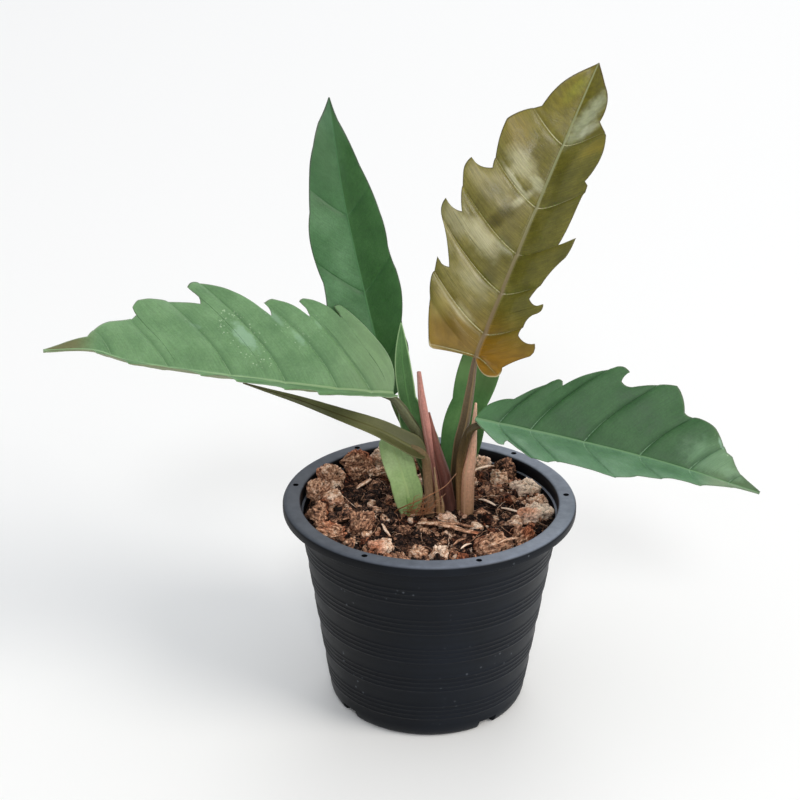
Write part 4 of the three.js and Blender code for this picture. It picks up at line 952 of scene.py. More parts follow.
def leaf_under(look):
    """A blade's lower face: paler and matter than the upper one, with its veins standing proud."""
    material, add = new_material(look["finish"] + "_underside")
    flat = add("Attribute", attribute_name="flat", give="Vector")
    gap = add("Attribute", attribute_name="gap", give="Fac")
    pale = (*[min(1.0, channel * 1.25) for channel in linear(look["under"])[:3]], 1.0)
    blotch = add("TexNoise", flat, Scale=120.0, Detail=4.0)
    body = add("ValToRGB", blotch, ramp=((0.35, look["under"]), (0.7, pale)))
    vein = add("MapRange", add("Math", gap, operation="ABSOLUTE"), 1.0, 0.3, 0.0, 0.6)
    body = add("Mix", vein, body, look["rib"])
    pores = add("TexNoise", flat, Scale=1500.0, Detail=2.0)
    add("OutputMaterial", add(
        "BsdfPrincipled", Base_Color=body, Roughness=0.62, IOR=1.4,
        Normal=add("Bump", Height=pores, Strength=0.3, Distance=0.0002)))
    return material


def stem_skin(name, colours, streak, roughness, pale=None):
    """Fleshy stem or sheath skin: its colours run from its foot to its top, with fine lengthwise streaks and
    small dark flecks. The eye reads it as smooth, slightly waxy tissue. pale is a paler line along its edges."""
    material, add = new_material(name)
    along, around, share = [add("Attribute", attribute_name=field, give="Fac")
                            for field in ("along", "around", "share")]
    where = add("TexCoord", give="Object")
    body = add("ValToRGB", share, ramp=[(k / (len(colours) - 1), colour) for k, colour in enumerate(colours)])
    streak_at = add("CombineXYZ", add("Math", around, 5.0), add("Math", along, 60.0))
    lines = add("TexNoise", streak_at, Scale=1.5, Detail=4.0)
    body = add("Mix", add("MapRange", lines, 0.45, 0.75, 0.0, 0.7, **EVEN), body, streak)
    fleck = add("TexNoise", where, Scale=900.0, Detail=3.0)
    tone = add("MapRange", fleck, 0.3, 0.7, 0.82, 1.15, **EVEN)
    body = add("Mix", 1.0, body, tone, **TINT)
    if pale:
        off = add("Math", around, math.pi, operation="PINGPONG")
        body = add("Mix", add("Math", off, 0.75, 0.14, operation="COMPARE"), body, pale)
    add("OutputMaterial", add(
        "BsdfPrincipled", Base_Color=body, Roughness=roughness, IOR=1.45,
        Normal=add("Bump", Height=lines, Strength=0.5, Distance=0.0004),
        Subsurface_Weight=0.1, Subsurface_Radius=(1.5, 1.0, 0.5), Subsurface_Scale=0.001))
    return material


def moulded_plastic(look):
    """Injection-moulded polypropylene, blue-black: satin with a soft grain, faint flow lines round the wall, painted
    shade that darkens it towards -X, pale dust on what faces up that is partly a painted sky reflection and thickens
    towards +X as painted light from that side, and a few light scuffs."""
    material, add = new_material("moulded_polypropylene")
    where = add("TexCoord", give="Object")
    grain = add("TexNoise", where, Scale=1400.0, Detail=3.0)
    wide = add("TexNoise", where, Scale=30.0, Detail=5.0, Roughness=0.65)
    body = add("ValToRGB", wide, ramp=((0.35, (*look.pot_colour, 1.0)), (0.75, (*look.pot_bloom, 1.0))))

    # Flow lines from the mould: level streaks under a millimetre apart
    flow = add("TexNoise", add("Mapping", where, Scale=(6.0, 6.0, 900.0)), Scale=1.0, Detail=3.0)
    tone = add("MapRange", flow, 0.3, 0.7, 0.86, 1.14, **EVEN)
    body = add("Mix", 1.0, body, tone, **TINT)

    # Painted shade darkens the plastic towards -X. Pale dust on what faces up, partly a painted sky reflection, grows
    # thicker towards +X as painted light from that side
    upward = add("SeparateXYZ", add("NewGeometry", give="Normal"), give="Z")
    across = add("SeparateXYZ", where)
    body = add("Mix", 1.0, body, add("MapRange", across, -0.06, 0.02, 0.3, 1.0), **TINT)
    dust_and_sheen_share = add("Math", add("MapRange", upward, 0.45, 0.98), add("MapRange", across, -0.075, 0.075, 0.3, 1.0))
    dust_and_sheen_noise = add("TexNoise", where, Scale=160.0, Detail=6.0, Roughness=0.7)
    dust_and_sheen_patches = add("MapRange", dust_and_sheen_noise, 0.35, 0.7, 0.72, 1.0, **EVEN)
    body = add("Mix", add("Math", dust_and_sheen_patches, dust_and_sheen_share), body, (*look.dust_and_sheen_colour, 1.0))

    # Specks of dried splashes, well under 1 mm and few
    rare = add("TexNoise", where, Scale=45.0, Detail=2.0)
    few = add("MapRange", rare, 0.6, 0.72, 0.0, 0.4, **EVEN)
    spot = add("TexVoronoi", where, Scale=260.0, Randomness=1.0)
    dot = add("MapRange", spot, 0.08, 0.2, 1.0, 0.0, **EVEN)
    body = add("Mix", add("Math", dot, few), body, "#8d949c")
    gloss = add("MapRange", wide, 0.3, 0.7, 0.38, 0.52, **EVEN)
    height = add("Math", flow, 1.5, grain, operation="MULTIPLY_ADD")
    add("OutputMaterial", add(
        "BsdfPrincipled", Base_Color=body, Roughness=gloss, IOR=1.49, Specular_IOR_Level=0.14,
        Normal=add("Bump", Height=height, Strength=0.25, Distance=0.0002)))
    return material


def husk(name, painted_crease_shade):
    """Coconut husk and peat: granular and fibrous, its tone from the piece's own attribute, with painted shade in the
    creases between its granules and painted light on their tops, and fibres 5 mm long that run one way through each
    lump. The second argument sets how dark the painted shade in the creases goes."""
    material, add = new_material(name)
    where = add("Attribute", attribute_name="own", give="Vector")
    tone, top = [add("Attribute", attribute_name=field, give="Fac") for field in ("tone", "top")]
    patch = add("TexNoise", where, Scale=420.0, Detail=6.0, Roughness=0.8)
    fibre = add("TexNoise", add("Mapping", where, Scale=(0.16, 1.0, 1.0)), Scale=1100.0, Detail=3.0)
    fine = add("TexNoise", where, Scale=2200.0, Detail=3.0)
    shift = add("MapRange", patch, 0.25, 0.75, -0.42, 0.42, **EVEN)
    shade = add("Math", tone, shift, operation="ADD")
    shade = add("Math", shade, add("MapRange", fibre, 0.32, 0.68, -0.2, 0.2), operation="ADD")
    body = add("ValToRGB", shade, ramp=((0.0, "#191211"), (0.18, "#352723"), (0.36, "#6a4c3e"), (0.56, "#ab7d62"),
                                        (0.76, "#d8ab8c"), (1.0, "#f8dec8")))
    whole = add("TexNoise", where, Scale=45.0, Detail=1.0)
    # Pink patches of the husk's own colour, then painted shade in the creases and painted light on the granules'
    # tops, then fine grain
    for share, tint in ((add("MapRange", whole, 0.52, 0.68, 0.0, 0.75), "#e8a888"),
                        (1.0, add("MapRange", top, 0.1, 0.8, 1 - painted_crease_shade, 1.12)),
                        (1.0, add("MapRange", fine, 0.32, 0.68, 0.72, 1.28))):
        body = add("Mix", share, body, tint, **TINT)
    height = add("Math", patch, 0.8, fibre, operation="MULTIPLY_ADD")
    add("OutputMaterial", add(
        "BsdfPrincipled", Base_Color=body, Roughness=0.9, IOR=1.35, Specular_IOR_Level=0.3,
        Normal=add("Bump", Height=height, Strength=0.9, Distance=0.0006)))
    return material


# Pot

def wall_radius(z):
    """Radius of the outside of the pot's wall at a height in mm, between its foot's round and its lip: a
    straight taper."""
    top = POT_HIGH.z / MM - POT["lip_depth"]
    share = np.clip((z - POT["foot_round"]) / (top - POT["foot_round"]), 0, 1)
    return POT["foot_radius"] + (POT["shoulder_radius"] - POT["foot_radius"]) * share


def pot_profile():
    """The pot's section from the middle of its underside, up its ringed wall, over its lip, down its inner
    wall and to the middle of its floor, as radius and height in mm."""
    height = POT_HIGH.z / MM
    lip = POT_HIGH.x / MM
    top = height - POT["lip_depth"]
    turn = np.linspace(0, np.pi / 2, 12)
    inward = POT["foot_round"] * 0.55
    corner = np.stack([POT["foot_radius"] - inward * (1 - np.sin(turn)),
                       POT["foot_round"] * (1 - np.cos(turn))], -1)
    levels = [np.linspace(POT["foot_round"], top, 60)]
    rings = np.array([RING_GROUPS["first"] + g * RING_GROUPS["pitch"] + off
                      for g in range(RING_GROUPS["count"]) for off in RING_GROUPS["offsets"]])
    spread = np.linspace(-1.6, 1.6, 7) * RING_GROUPS["half"]
    levels.append((rings[:, None] + spread).ravel())
    z = np.unique(np.concatenate(levels))
    bead = np.exp(-(((z[:, None] - rings) / (0.7 * RING_GROUPS["half"])) ** 2)).sum(1)
    wall = np.stack([wall_radius(z) + RING_GROUPS["height"] * bead, z], -1)
    skirt = POT["lip_skirt"]
    edge = [[lip - skirt - 1.2, top + 0.4], [lip - skirt, top + 0.7], [lip - skirt, top], [lip - 0.5, top],
            [lip - 0.1, top + 0.3], [lip, top + 0.9], [lip, height - 1.5], [lip - 0.35, height - 0.75],
            [lip - 1.1, height - 0.2], [lip - 2.4, height - 0.02], [lip - 3.2, height - 0.05],
            [POT["lip_inner"] + 1.2, height - 0.1], [POT["lip_inner"] + 0.3, height - 0.2],
            [POT["lip_inner"] - 0.3, height - 0.7], [POT["lip_inner"] - 0.6, height - 1.6]]
    inner = [[wall_radius(z_in) - POT["wall"] + step, z_in] for z_in, step in (
        (height - 6.5, 0.9), (height - 7, 0), (height - 12, 0), (40, 0), (POT["floor"] + 4, 0))]
    under = [[1, 0], [POT["foot_radius"] - inward - 2, 0]]
    floor = [[inner[-1][0] - 3, POT["floor"]], [1, POT["floor"]]]
    return np.array(under + corner.tolist() + wall[1:].tolist() + edge + inner + floor)


def drill(piece, cutters):
    """Cuts closed shapes out of a piece and clears them away."""
    group = bpy.data.collections.new("cutters")
    for cutter in cutters:
        bpy.context.scene.collection.objects.unlink(cutter)
        group.objects.link(cutter)
    cut = piece.modifiers.new("holes", "BOOLEAN")
    cut.operation = "DIFFERENCE"
    cut.operand_type = "COLLECTION"
    cut.collection = group
    cut.solver = "EXACT"
    bpy.context.view_layer.update()
    whole = piece.evaluated_get(bpy.context.evaluated_depsgraph_get())
    mesh = bpy.data.meshes.new_from_object(whole)
    piece.modifiers.clear()
    old = piece.data
    piece.data = mesh
    mesh.name = old.name
    bpy.data.meshes.remove(old)
    for cutter in cutters:
        bpy.data.objects.remove(cutter)
    bpy.data.collections.remove(group)


def upright_peg(name, centre, low, high, radius, sides=24):
    """A round peg between two heights, as two rings."""
    ring = centre + round_points(radius, full_turn(sides), 0)
    return closed_skins(name, np.stack([ring + [0, 0, low], ring + [0, 0, high]])[None])


def block(name, centre, size, degrees):
    """A block turned about the upright axis, as two rings of four corners."""
    turn = math.radians(degrees)
    out, along = np.array([math.cos(turn), math.sin(turn), 0]), np.array([-math.sin(turn), math.cos(turn), 0])
    ring = np.array([centre + out * size[0] / 2 * a + along * size[1] / 2 * b
                     for a, b in ((-1, -1), (1, -1), (1, 1), (-1, 1))])
    rise = np.array([0, 0, size[2] / 2])
    return closed_skins(name, np.stack([ring - rise, ring + rise])[None])


# Growing mix

def inner_radius(z):
    """Radius of the inside of the pot's wall at a height, in mm."""
    return wall_radius(z) - POT["wall"] - 0.35 * np.maximum(POT["foot_round"] - z, 0)


def inside_pot(points):
    """Points of the mix, with any that lie past the inside of the pot's wall drawn in to it."""
    room = inner_radius(points[..., 2]) - MIX["edge_gap"]
    hold = np.minimum(1, room / np.maximum(np.hypot(points[..., 0], points[..., 1]), 1))
    return np.concatenate([points[..., :2] * hold[..., None], points[..., 2:]], -1)


def mix_level(x, y):
    """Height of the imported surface: three slow waves that cross, heaped a little towards the back."""
    waves = np.sin(x * 0.21 + 1) + np.sin(y * 0.24 - x * 0.09 + 2) + np.sin((x + y) * 0.13)
    return MIX["level"] + 1.6 * waves / 3 + 0.03 * (y - 0.4 * x)


def granules(points, cell, seed):
    """Height from 0 in the creases to 1 on the tops of packed round granules: 1 less the square of the distance
    to the nearest of one random point in each cube of side cell, over that cube's reach."""
    scaled = np.asarray(points, float) / cell
    base = np.floor(scaled).astype(np.int64)
    nearest = np.full(scaled.shape[:-1], 9.0)
    for step in np.ndindex(3, 3, 3):
        cube = base + np.array(step) - 1
        place = cube + np.stack([cell_value(cube, seed + k) for k in range(3)], -1)
        nearest = np.minimum(nearest, ((scaled - place) ** 2).sum(-1))
    return np.clip(1 - nearest / 0.75, 0, 1)


def peat_grid(rings=140, segments=380):
    """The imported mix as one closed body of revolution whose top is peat: the slow surface, with lumps of
    about 9 and 4 mm, granules of 2 and 1 mm packed on them, and the height of those granules from 0 to 1."""
    edge = inner_radius(MIX["level"]) - MIX["edge_gap"]
    radius = np.linspace(0.8, edge, rings)
    turn = full_turn(segments)
    spot = round_points(radius[:, None], turn, 0.0)
    x, y = spot[..., 0], spot[..., 1]
    lumps = 1.5 * noise(spot, **SLOW_LUMPS) + 1.2 * np.abs(noise(spot, 4, 12))
    spot[..., 2] = 3 * lumps
    top_of = 0.6 * granules(spot, 2.3, 15) + 0.4 * granules(spot, 1.2, 18)
    settle = np.clip((edge - radius[:, None]) / 5, 0, 1)
    z = mix_level(x, y) - 1.8 + (lumps + 1.7 * top_of) * (0.3 + 0.7 * settle) - 2.2 * (1 - settle) ** 2
    top = np.stack([x, y, z], -1)
    side = []
    for z_side, inset in ((MIX["level"] - 6, 0.0), (50, 0.0), (MIX["bottom"] + 4, 0.0), (MIX["bottom"], 3.0)):
        side.append(round_points(inner_radius(z_side) - MIX["edge_gap"] - inset, turn, z_side))
    side.append(round_points(radius[0], turn, MIX["bottom"]))
    height = np.concatenate([top_of, np.zeros((len(side), segments))])
    return np.concatenate([top, np.stack(side)])[None], height[None]


def stones(centres, sizes, turns, seed, rows, columns, facets, bite, grain):
    """Broken lumps, one per centre. Along each direction a lump reaches as far as the nearest of a rounded
    block's side and of a few random planes, then slow noise and packed granules push it in and out. Returns
    the lumps, the height of their granules from 0 to 1 and their places before they were turned."""
    count = len(centres)
    draw = np.random.default_rng(seed)
    polar = np.linspace(0, np.pi, rows + 2)[1:-1]
    way = round_points(np.sin(polar)[:, None], full_turn(columns), np.cos(polar)[:, None])
    reach = np.broadcast_to((np.abs(way) ** 3.2).sum(-1) ** (-1 / 3.2), (count,) + way.shape[:2]).copy()
    planes = unit(draw.normal(size=(count, facets, 3)))
    depth = draw.uniform(0.62, 1.02, size=(count, facets))
    for k in range(facets):
        toward = np.einsum("ijc,nc->nij", way, planes[:, k])
        reach = np.minimum(reach, np.where(toward > 0.05, depth[:, k, None, None] / np.maximum(toward, 0.05), 9))
    half = np.asarray(sizes)[:, None, None, :] / 2
    body = way * reach[..., None] * half
    spot = body + draw.uniform(0, 500, size=(count, 1, 1, 3))
    small = np.minimum(np.asarray(sizes).mean(axis=1)[:, None, None] / 9, 1)
    push = bite * (0.9 * noise(spot, 3.0, seed) + 0.7 * noise(spot, 1.5, seed + 1)) * small
    height = np.full_like(push, 0.6)
    if grain:
        bent = spot + 0.6 * np.stack([noise(spot, 1.5, seed + 5 + k) for k in range(3)], -1)
        height = 0.55 * granules(bent, 1.7, seed + 2) + 0.45 * granules(bent, 0.85, seed + 3)
        push = push + grain * (height - 0.55) * small + 0.9 * bite * noise(spot, 5.0, seed + 9) * small
    body = body + way * push[..., None]
    tilt = draw.uniform(-0.45, 0.45, size=(count, 2))
    for axis, angles in enumerate((tilt[:, 0], tilt[:, 1], np.radians(turns))):
        body = spin(body, angles, axis)
    return inside_pot(body + np.asarray(centres)[:, None, None, :]), height, spot


def spin(points, angles, axis):
    """Turns each group of points (groups, rows, columns, 3) by its own angle about one of the axes."""
    a, b = [k for k in range(3) if k != axis]
    c, s = np.cos(angles)[:, None, None], np.sin(angles)[:, None, None]
    out = points.copy()
    out[..., a] = points[..., a] * c - points[..., b] * s
    out[..., b] = points[..., a] * s + points[..., b] * c
    return out


def dampened(tone, x, y, hold=0.75):
    """A tone lightened towards the back as painted light, and darkened by a share inside the damp patches of peat."""
    damp = np.max([np.exp(-(((x - cx) ** 2 + (y - cy) ** 2) / reach**2) ** 2) for cx, cy, reach in DAMP], axis=0)
    return (tone + MIX["painted_light_at_back"] * np.clip(y / 50, 0, 1)) * (1 - hold * damp)


def sliver_rings(start, end, rise, width, depth):
    """A split sliver between two places on the mix: an oval section that bends a little and thins to both ends.
    Returns its rings and its straight places, the grain running along it."""
    start, end = np.array(start, float), np.array(end, float)
    share = np.linspace(0, 1, 40)[:, None]
    path = start + (end - start) * share
    bend = noise(np.concatenate([path, 0 * share], 1), 7, 61)[:, None]
    ahead = unit(end - start)
    across = np.array([-ahead[1], ahead[0]])
    path = path + across * bend * 0.8
    length = np.linalg.norm(end - start)
    z = mix_level(path[:, :1], path[:, 1:]) + rise + 0.8 * np.sin(np.pi * share)
    turn = full_turn(16)
    spot = np.stack(np.broadcast_arrays(share * length, 2 * np.cos(turn), 2 * np.sin(turn)), -1)
    swell = (0.25 + 0.75 * np.sin(np.pi * (0.08 + 0.84 * share)) ** 0.6) * (1 + 0.35 * noise(spot, 2.5, 62))
    side = swell * np.cos(turn) * width / 2
    up = swell * np.sin(turn) * depth / 2
    rings = np.stack([path[:, :1] + across[0] * side, path[:, 1:] + across[1] * side, z + up], -1)
    return rings, np.stack(np.broadcast_arrays(share * length, side, up), -1)


def scatter(count, reach, seed):
    """Places spread over the mix: random distances from its middle, even over its area, and random turns."""
    draw = np.random.default_rng(seed)
    radius = reach * np.sqrt(draw.uniform(0, 1, count))
    turn = draw.uniform(0, 2 * np.pi, count)
    return radius * np.cos(turn), radius * np.sin(turn), draw


def fibre_paths(count):
    """Loose fibres that lie on the mix: each starts at a random place and heads on with a heading that
    wanders, rising over the surface in a low arch."""
    steps = FIBRES["steps"]
    x, y, draw = scatter(count, **FIBRES["place"])
    length = draw.uniform(*FIBRES["length"], count)
    turn = draw.uniform(0, 2 * np.pi, (count, 1)) + np.cumsum(draw.normal(0, 0.28, (count, steps)), axis=1)
    stride = (length / steps)[:, None]
    px = x[:, None] + np.cumsum(np.cos(turn) * stride, axis=1)
    py = y[:, None] + np.cumsum(np.sin(turn) * stride, axis=1)
    out = np.hypot(px, py)
    hold = np.minimum(1, FIBRES["within"] / np.maximum(out, 1))
    px, py = px * hold, py * hold
    share = np.linspace(0, 1, steps)
    arch = draw.uniform(0.2, 2.6, (count, 1)) * np.sin(np.pi * share) ** 0.8
    return np.stack([px, py, mix_level(px, py) + 0.6 + arch], -1), draw


def strand_paths(steps=16):
    """Dried strands at the foot of the crown: each runs from a random place in one box to one in another, and
    sags and wanders on its way by noise of 6 mm."""
    draw = np.random.default_rng(71)
    count = DRIED_STRANDS["count"]
    start = draw.uniform(*DRIED_STRANDS["from"], (count, 3))[:, None]
    end = draw.uniform(*DRIED_STRANDS["to"], (count, 3))[:, None]
    share = np.linspace(0, 1, steps)[None, :, None]
    path = start + (end - start) * share
    wander = np.stack([noise(path + 40.0 * k, 6, 72 + k) for k in range(3)], -1)
    return path + 1.8 * wander * np.sin(np.pi * share)


# Settings that a user would change

class PotSettings(bpy.types.PropertyGroup):
    pot_colour: bpy.props.FloatVectorProperty(
        name="Plastic", description="Body colour of the moulded plastic", subtype="COLOR",
        default=linear("#0f1319")[:3])
    pot_bloom: bpy.props.FloatVectorProperty(
        name="Bloom", description="Greyer colour where the plastic has bloomed", subtype="COLOR",
        default=linear("#161b23")[:3])
    # The dust colour is partly a painted sky reflection on the lip
    dust_and_sheen_colour: bpy.props.FloatVectorProperty(
        name="Dust", description="Colour of the dust on the lip", subtype="COLOR",
        default=linear("#8f97a6")[:3])
    segments: bpy.props.IntProperty(
        name="Segments", description="Faces round the pot", default=160, min=48, max=256)


class PlantSettings(bpy.types.PropertyGroup):
    blade_rows: bpy.props.IntProperty(
        name="Rows", description="Rows of faces from a large blade's base to its tip", default=260, min=60, max=400)
    blade_columns: bpy.props.IntProperty(
        name="Columns", description="Points from a large blade's midrib to its margin", default=26, min=8, max=40)
    slim_rows: bpy.props.IntProperty(
        name="Slim rows", description="Rows of faces from a slim blade's base to its tip", default=120,
        min=40, max=300)
    slim_columns: bpy.props.IntProperty(
        name="Slim columns", description="Points from a slim blade's midrib to its margin", default=16, min=6, max=40)
    petiole_sides: bpy.props.IntProperty(
        name="Stem sides", description="Faces round a petiole", default=28, min=8, max=48)


class MixSettings(bpy.types.PropertyGroup):
    crumbs: bpy.props.IntProperty(
        name="Crumbs", description="Loose peat and husk crumbs on the mix", default=1350, min=0, max=3000)
    small_chips: bpy.props.IntProperty(
        name="Small chips", description="Small pieces of husk between the large chips", default=95, min=0, max=160)
    fibres: bpy.props.IntProperty(
        name="Fibres", description="Loose fibres on the mix", default=420, min=0, max=600)
    crumb_size: bpy.props.FloatProperty(
        name="Crumb size", description="Length of the largest crumbs", default=0.0055, min=0.001, max=0.01,
        subtype="DISTANCE", unit="LENGTH")


class StageSettings(bpy.types.PropertyGroup):
    floor_size: bpy.props.FloatProperty(
        name="Floor", description="Side of the plain floor", default=12.0, min=1.0, max=40.0,
        subtype="DISTANCE", unit="LENGTH")
    floor_colour: bpy.props.FloatVectorProperty(
        name="Floor colour", description="Colour of the plain floor", subtype="COLOR",
        default=linear("#fbfbfa")[:3])


# Operators

def mix_piece(name, rings, tone, top, own, finish, painted_crease_shade, nodes=()):
    """A piece of the growing mix, with its tone, its granules' height and its own grain as attributes."""
    piece = closed_skins(name, rings, tone=tone, top=top, own=own * MM)
    finish_piece(piece, nodes, "growing_mix", husk(finish, painted_crease_shade))


def loose_lumps(name, centres, sizes, turns, tone, look):
    """Broken lumps on the mix, each with one tone."""
    lumps, height, own = stones(centres, sizes, turns, **look["shape"])
    mix_piece(name, lumps, tone[:, None, None], height, own, look["finish"], look["painted_crease_shade"])


def build_stem(name, points, radii, up, skin, slot, nodes, sides, section):
    """A stem piece along its route, with its length run, its turn and its share of the length as attributes."""
    rings, along, around = stem_grid(points, radii, STEMS["steps"], sides, up, section)
    piece = closed_skins(name, rings, along=along * MM, around=around, share=along / along.max())
    finish_piece(piece, nodes, slot, bpy.data.materials.get(skin[0]) or stem_skin(*skin))


def grow_leaf(name, leaf, look, rows, columns, sides, channel):
    """A leaf's two pieces: its blade, and its petiole with a channel of the depth and width given."""
    points, slots, fields = blade_grid(leaf, rows, columns)
    blade = closed_skins(name + "_blade", points, slots, **fields)
    length = smooth_line(leaf["midrib"])[1][-1]
    upper = leaf_upper(look, length, WATER_MARKS.get(name, ()), PAINTED_SHEEN_AND_COLOUR_PATCHES.get(name, ()))
    finish_piece(blade, [name], look["slot"], upper, leaf_under(look))
    build_stem(name + "_petiole", leaf["petiole"], leaf["radii"], facing(*leaf["face"]), PETIOLE_SKINS[name],
               look["slot"], [name], sides, channelled(*channel))


class PHILO_OT_pot(bpy.types.Operator):
    """Turn the ringed nursery pot and cut its lip holes, foot notches and drain holes"""

    bl_idname = "philo.pot"
    bl_label = "Pot"

    def execute(self, context):
        look = context.scene.philo_pot
        profile = pot_profile()
        rings = round_points(profile[:, :1], full_turn(look.segments), profile[:, 1:])
        pot = closed_skins("nursery_pot", rings[None])
        holes = [(LIP_HOLES, middle + spread) for middle in LIP_HOLES["pairs"]
                 for spread in (-LIP_HOLES["spread"], LIP_HOLES["spread"])]
        holes += [(DRAIN, 360 * (k + 0.5) / DRAIN["count"]) for k in range(DRAIN["count"])]
        cutters = [upright_peg("drill", hole["circle"] * facing(angle, 0), *hole["cut"], hole["radius"])
                   for hole, angle in holes]
        for angle in FOOT_NOTCH["angles"]:
            cutters.append(block("notch_drill", facing(angle, 0) * (POT["foot_radius"] - 2),
                                 (FOOT_NOTCH["depth"], FOOT_NOTCH["width"], 2 * FOOT_NOTCH["height"]), angle))
        drill(pot, cutters)
        pot.data.shade_smooth()
        pot.data.set_sharp_from_angle(angle=math.radians(POT["sharp_from"]))
        finish_piece(pot, ["pot"], "pot", moulded_plastic(look))
        return {"FINISHED"}


class PHILO_OT_mix(bpy.types.Operator):
    """Fill the pot with peat, husk chips, crumbs and fibres"""

    bl_idname = "philo.mix"
    bl_label = "Growing mix"

    def execute(self, context):
        settings = context.scene.philo_mix
        grid, height = peat_grid()
        # The peat's tone: random, and lighter on its granules' tops as painted light
        tone = 0.04 + 0.12 * (noise(grid, 5, 21) + 1) / 2 + 0.16 * height**2
        tone = dampened(tone, grid[..., 0], grid[..., 1], 0.6)
        mix_piece("peat_bed", grid, tone, height, grid, "damp_peat", 0.7, ["growing_mix"])

        table = np.array(CHIPS, float)
        x, y = table[:, 0], table[:, 1]
        centres = np.stack([x, y, mix_level(x, y) + table[:, 4] * 0.18], -1)
        tone = dampened(table[:, 5], x, y, 0.25)
        loose_lumps("husk_chips", centres, table[:, 2:5], table[:, 6], tone, LUMPS["chips"])

        count = settings.small_chips
        x, y, draw = scatter(count, **LUMPS["small_chips"]["place"])
        sizes = draw.uniform(4.5, 8.5, (count, 1)) * draw.uniform(0.6, 1, (count, 3))
        bed = 1.2 * noise(np.stack([x, y, 0 * x], -1), **SLOW_LUMPS)
        centres = np.stack([x, y, mix_level(x, y) + bed + 0.3], -1)
        turns = draw.uniform(0, 360, count)
        tone = dampened(draw.uniform(0.1, 0.95, count), x, y)
        loose_lumps("small_husk_chips", centres, sizes, turns, tone, LUMPS["small_chips"])

        count = settings.crumbs
        x, y, draw = scatter(count, **LUMPS["crumbs"]["place"])
        size = settings.crumb_size / MM * draw.uniform(0.22, 1, count) ** 1.6
        sizes = size[:, None] * draw.uniform(0.55, 1, (count, 3))
        bed = 1.5 * noise(np.stack([x, y, 0 * x], -1), **SLOW_LUMPS)
        centres = np.stack([x, y, mix_level(x, y) + bed + draw.uniform(-0.6, 1.2, count)], -1)
        turns = draw.uniform(0, 360, count)
        tone = np.where(draw.uniform(0, 1, count) < 0.6, draw.uniform(0.0, 0.25, count),
                        draw.uniform(0.35, 1.0, count))
        loose_lumps("mix_crumbs", centres, sizes, turns, dampened(tone, x, y), LUMPS["crumbs"])

        paths, draw = fibre_paths(settings.fibres)
        thick = draw.uniform(*FIBRES["radius"], (settings.fibres, 1)) * np.linspace(1, 0.5, paths.shape[1])
        rings = inside_pot(tube_rings(paths, thick, FIBRES["sides"], np.array([0.02, 0.01, 1.0])))
        tone = draw.uniform(0.1, 0.9, (settings.fibres, 1, 1)) ** 1.5
        mix_piece("coir_fibres", rings, tone, 0.6, rings, "coir_fibre", 0.3)

        rings, own = [np.stack(part) for part in zip(*[sliver_rings(*sliver[:5]) for sliver in SLIVERS])]
        tone = np.array([sliver[5] for sliver in SLIVERS])[:, None, None]
        mix_piece("bark_slivers", rings, tone, 0.7, own, "split_bark", 0.3)
        return {"FINISHED"}


class PHILO_OT_large_leaves(bpy.types.Operator):
    """Grow the four large lobed and waved blades and their petioles"""

    bl_idname = "philo.large_leaves"
    bl_label = "Large leaves"

    def execute(self, context):
        settings = context.scene.philo_plant
        for name, leaf in LARGE_LEAVES.items():
            grow_leaf(name, leaf, LEAF_LOOKS[name], settings.blade_rows, settings.blade_columns,
                      settings.petiole_sides, STEMS["large_channel"])
        return {"FINISHED"}


class PHILO_OT_slim_leaves(bpy.types.Operator):
    """Grow the slim young leaves and their petioles"""

    bl_idname = "philo.slim_leaves"
    bl_label = "Young leaves"

    def execute(self, context):
        settings = context.scene.philo_plant
        for name, leaf in SLIM_LEAVES.items():
            grow_leaf(name, slim_leaf(leaf), LEAF_LOOKS[name], settings.slim_rows, settings.slim_columns,
                      settings.petiole_sides, STEMS["slim_channel"])
        return {"FINISHED"}


class PHILO_OT_sheaths(bpy.types.Operator):
    """Grow the pointed sheaths, the dry strips of an old sheath, the loose root and the dried strands"""

    bl_idname = "philo.sheaths"
    bl_label = "Sheaths and root"

    def execute(self, context):
        for name, sheath in SHEATHS.items():
            build_stem(name + "_sheath", sheath["points"], sheath["radii"], (0.3, -1, 0.1), SHEATH_SKINS[name],
                       sheath["slot"], [name], STEMS["sheath_sides"], keeled(STEMS["sheath_keel"]))
        for k, strip in enumerate(DRY_STRIPS):
            build_stem(f"dry_sheath_strip_{k + 1}", strip["points"], strip["radii"], (0.2, -1, 0),
                       SHEATH_SKINS["dry_sheath"], "dry_sheath", ["dry_sheath"], STEMS["strip_sides"],
                       keeled(STEMS["strip_keel"]))
        root_skin = SHEATH_SKINS["aerial_root"]
        build_stem("aerial_root_strand", AERIAL_ROOT["points"], AERIAL_ROOT["radii"], (0, -1, 0.2), root_skin,
                   "root", ["aerial_root"], STEMS["root_sides"], None)
        path = strand_paths()
        thin = np.linspace(1, 0.5, path.shape[1])
        rings = tube_rings(path, DRIED_STRANDS["radius"] * thin, STEMS["strand_sides"], np.array([0.02, -0.2, 1.0]))
        share = np.linspace(0, 1, path.shape[1])[None, :, None]
        strands = closed_skins("dried_strands", rings, along=share * 15 * MM, around=share, share=share)
        finish_piece(strands, [], "root", bpy.data.materials[root_skin[0]])
        return {"FINISHED"}


